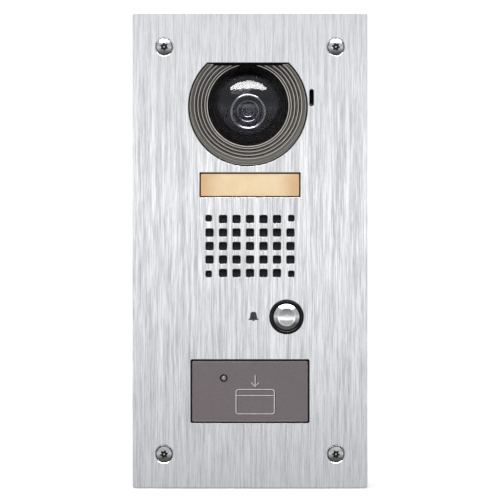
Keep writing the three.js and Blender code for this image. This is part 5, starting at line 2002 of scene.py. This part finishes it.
class DOORPANEL_OT_stage(bpy.types.Operator):
    """Set up the floor, the soft lights, the white surround and the camera"""

    bl_idname = "door_panel.stage"
    bl_label = "Studio"

    def floor(self):
        lowest = min(corner[2] for corner in frame_bounds) - 0.0005
        bend, far, near, top, half_width = 0.6, 1.6, -4.0, 3.0, 4.0
        turns = [math.pi / 2 * i / 12 for i in range(13)]
        line = [(near, lowest)]
        line += [(far + bend * math.sin(t), lowest + bend * (1 - math.cos(t))) for t in turns]
        line.append((far + bend, top))
        bm = bmesh.new()
        points = [bm.verts.new((-half_width, y, z)) for y, z in line]
        edges = [bm.edges.new(pair) for pair in zip(points, points[1:])]
        made = bmesh.ops.extrude_edge_only(bm, edges=edges)["geom"]
        moved = [part for part in made if isinstance(part, bmesh.types.BMVert)]
        bmesh.ops.translate(bm, verts=moved, vec=(2 * half_width, 0, 0))
        bmesh.ops.recalc_face_normals(bm, faces=bm.faces)
        mesh = mesh_from(bm)
        mesh.shade_smooth()
        floor = link_object("studio_floor", mesh)
        finish, tree, shader = new_finish("studio_floor", Roughness=0.9, Emission_Strength=0.45)
        shader.inputs["Emission Color"].default_value = (1, 1, 1, 1)
        cloud = use_group(tree, "smudges", size=0.8, amount=1.0)
        tone = mixed_colour(tree, cloud["Mask"], (0.93, 0.93, 0.93), (0.95, 0.95, 0.95))
        tree.links.new(tone, shader.inputs["Base Color"])
        shader.inputs["Specular IOR Level"].default_value = 0.0
        floor.data.materials.append(finish)
        floor.visible_glossy = False

    def surround(self, strength):
        """White studio: bright above the horizon, warm and dimmer below it."""
        world = bpy.data.worlds.new("studio_surround")
        world.use_nodes = True
        tree = world.node_tree
        tree.nodes.clear()
        direction = add_node(tree, "ShaderNodeTexCoord").outputs["Generated"]
        height = add_node(tree, "ShaderNodeSeparateXYZ", {0: direction}).outputs["Z"]
        floor_tone = rgba((0.13, 0.125, 0.12))
        under = rgba((0.4, 0.415, 0.44))
        middle = rgba((0.76, 0.775, 0.8))
        high = rgba((0.52, 0.53, 0.56))
        sky = mixed_colour(tree, scaled(tree, height, -0.55, -0.2), floor_tone, under)
        sky = mixed_colour(tree, scaled(tree, height, -0.22, 0.02), sky, middle)
        sky = mixed_colour(tree, scaled(tree, height, 0.0, 0.24), sky, high)
        lit = add_node(tree, "ShaderNodeBackground", {"Color": sky, "Strength": strength})
        seen = add_node(tree, "ShaderNodeBackground", {"Color": rgba((1, 1, 1)), "Strength": 1.2})
        path = add_node(tree, "ShaderNodeLightPath")
        mix = add_node(
            tree,
            "ShaderNodeMixShader",
            {0: path.outputs["Is Camera Ray"], 1: lit.outputs[0], 2: seen.outputs[0]},
        )
        out = add_node(tree, "ShaderNodeOutputWorld")
        tree.links.new(mix.outputs[0], out.inputs["Surface"])
        bpy.context.scene.world = world

    def softbox(self, name, radiance, size, place, target, shape="RECTANGLE", seen_by="BOTH"):
        light = bpy.data.lights.new(name, "AREA")
        light.shape = shape
        light.size, light.size_y = size
        area = size[0] * size[1] * (math.pi / 4 if shape == "ELLIPSE" else 1)
        light.energy = radiance * area * math.pi
        light.color = (1.0, 0.985, 0.94)
        holder = link_object(name, light)
        aim = (Vector(target) - Vector(place)).to_track_quat("-Z", "Y")
        holder.matrix_world = Matrix.Translation(place) @ aim.to_matrix().to_4x4()
        holder.visible_camera = False
        holder.visible_diffuse = seen_by != "GLOSSY"
        holder.visible_glossy = seen_by != "DIFFUSE"

    def execute(self, context):
        settings = context.scene.door_panel_studio
        self.floor()
        self.surround(settings.surround)
        dome = (PIVOT.x * MM, 0.02, PIVOT.z * MM)
        shine = settings.softbox
        place = (0, -0.64, 0.95)
        self.softbox("shine_softbox", shine, (1.8, 0.4), place, dome, "ELLIPSE", "GLOSSY")
        self.softbox("key_softbox", 3.4, (1.0, 0.6), (-0.35, -0.8, 0.9), dome, seen_by="DIFFUSE")
        self.softbox("front_panel", 0.72, (2.0, 0.36), (0, -2.3, 0.05), (0, 0, 0.02))
        camera = bpy.data.cameras.new("studio_camera")
        camera.sensor_width = 36
        camera.lens = camera.sensor_width * settings.distance / settings.view_height
        camera.clip_end = 50
        holder = link_object("studio_camera", camera)
        holder.location = (0, PLATE_FRONT * MM - settings.distance, 0.0003)
        holder.rotation_euler = (math.radians(90), 0, 0)
        context.scene.camera = holder
        context.scene.view_settings.view_transform = "Standard"
        return {"FINISHED"}


# ------------------------------------------------------------ panel and registration

OPERATORS = (
    DOORPANEL_OT_kept_pieces,
    DOORPANEL_OT_faceplate,
    DOORPANEL_OT_mounting_screws,
    DOORPANEL_OT_back_box,
    DOORPANEL_OT_camera_bezel,
    DOORPANEL_OT_camera_dome,
    DOORPANEL_OT_camera_head,
    DOORPANEL_OT_name_plate,
    DOORPANEL_OT_call_button,
    DOORPANEL_OT_bell_symbol,
    DOORPANEL_OT_card_reader,
    DOORPANEL_OT_stage,
)

SETTINGS = {
    "door_panel_plate": PlateSettings,
    "door_panel_camera": CameraSettings,
    "door_panel_button": ButtonSettings,
    "door_panel_symbols": SymbolSettings,
    "door_panel_studio": StudioSettings,
    "door_panel_colours": ColourSettings,
}


class DOORPANEL_PT_sidebar(bpy.types.Panel):
    bl_idname = "DOORPANEL_PT_sidebar"
    bl_label = "Door Panel"
    bl_space_type = "VIEW_3D"
    bl_region_type = "UI"
    bl_category = "Door Panel"

    def draw(self, context):
        for name, group in SETTINGS.items():
            column = self.layout.column(align=True)
            for setting in group.__annotations__:
                column.prop(getattr(context.scene, name), setting)
        column = self.layout.column(align=True)
        for operator in OPERATORS:
            column.operator(operator.bl_idname)


def register():
    for group in SETTINGS.values():
        bpy.utils.register_class(group)
    for operator in OPERATORS:
        bpy.utils.register_class(operator)
    bpy.utils.register_class(DOORPANEL_PT_sidebar)
    for name, group in SETTINGS.items():
        setattr(bpy.types.Scene, name, PointerProperty(type=group))


def unregister():
    for name in SETTINGS:
        delattr(bpy.types.Scene, name)
    bpy.utils.unregister_class(DOORPANEL_PT_sidebar)
    for operator in reversed(OPERATORS):
        bpy.utils.unregister_class(operator)
    for group in reversed(list(SETTINGS.values())):
        bpy.utils.unregister_class(group)


def main():
    register()
    bpy.ops.door_panel.kept_pieces()
    bpy.ops.door_panel.faceplate()
    bpy.ops.door_panel.mounting_screws()
    bpy.ops.door_panel.back_box()
    bpy.ops.door_panel.camera_bezel()
    bpy.ops.door_panel.camera_dome()
    bpy.ops.door_panel.camera_head()
    bpy.ops.door_panel.name_plate()
    bpy.ops.door_panel.call_button()
    bpy.ops.door_panel.bell_symbol()
    bpy.ops.door_panel.card_reader()
    bpy.ops.door_panel.stage()


if __name__ == "__main__":
    main()
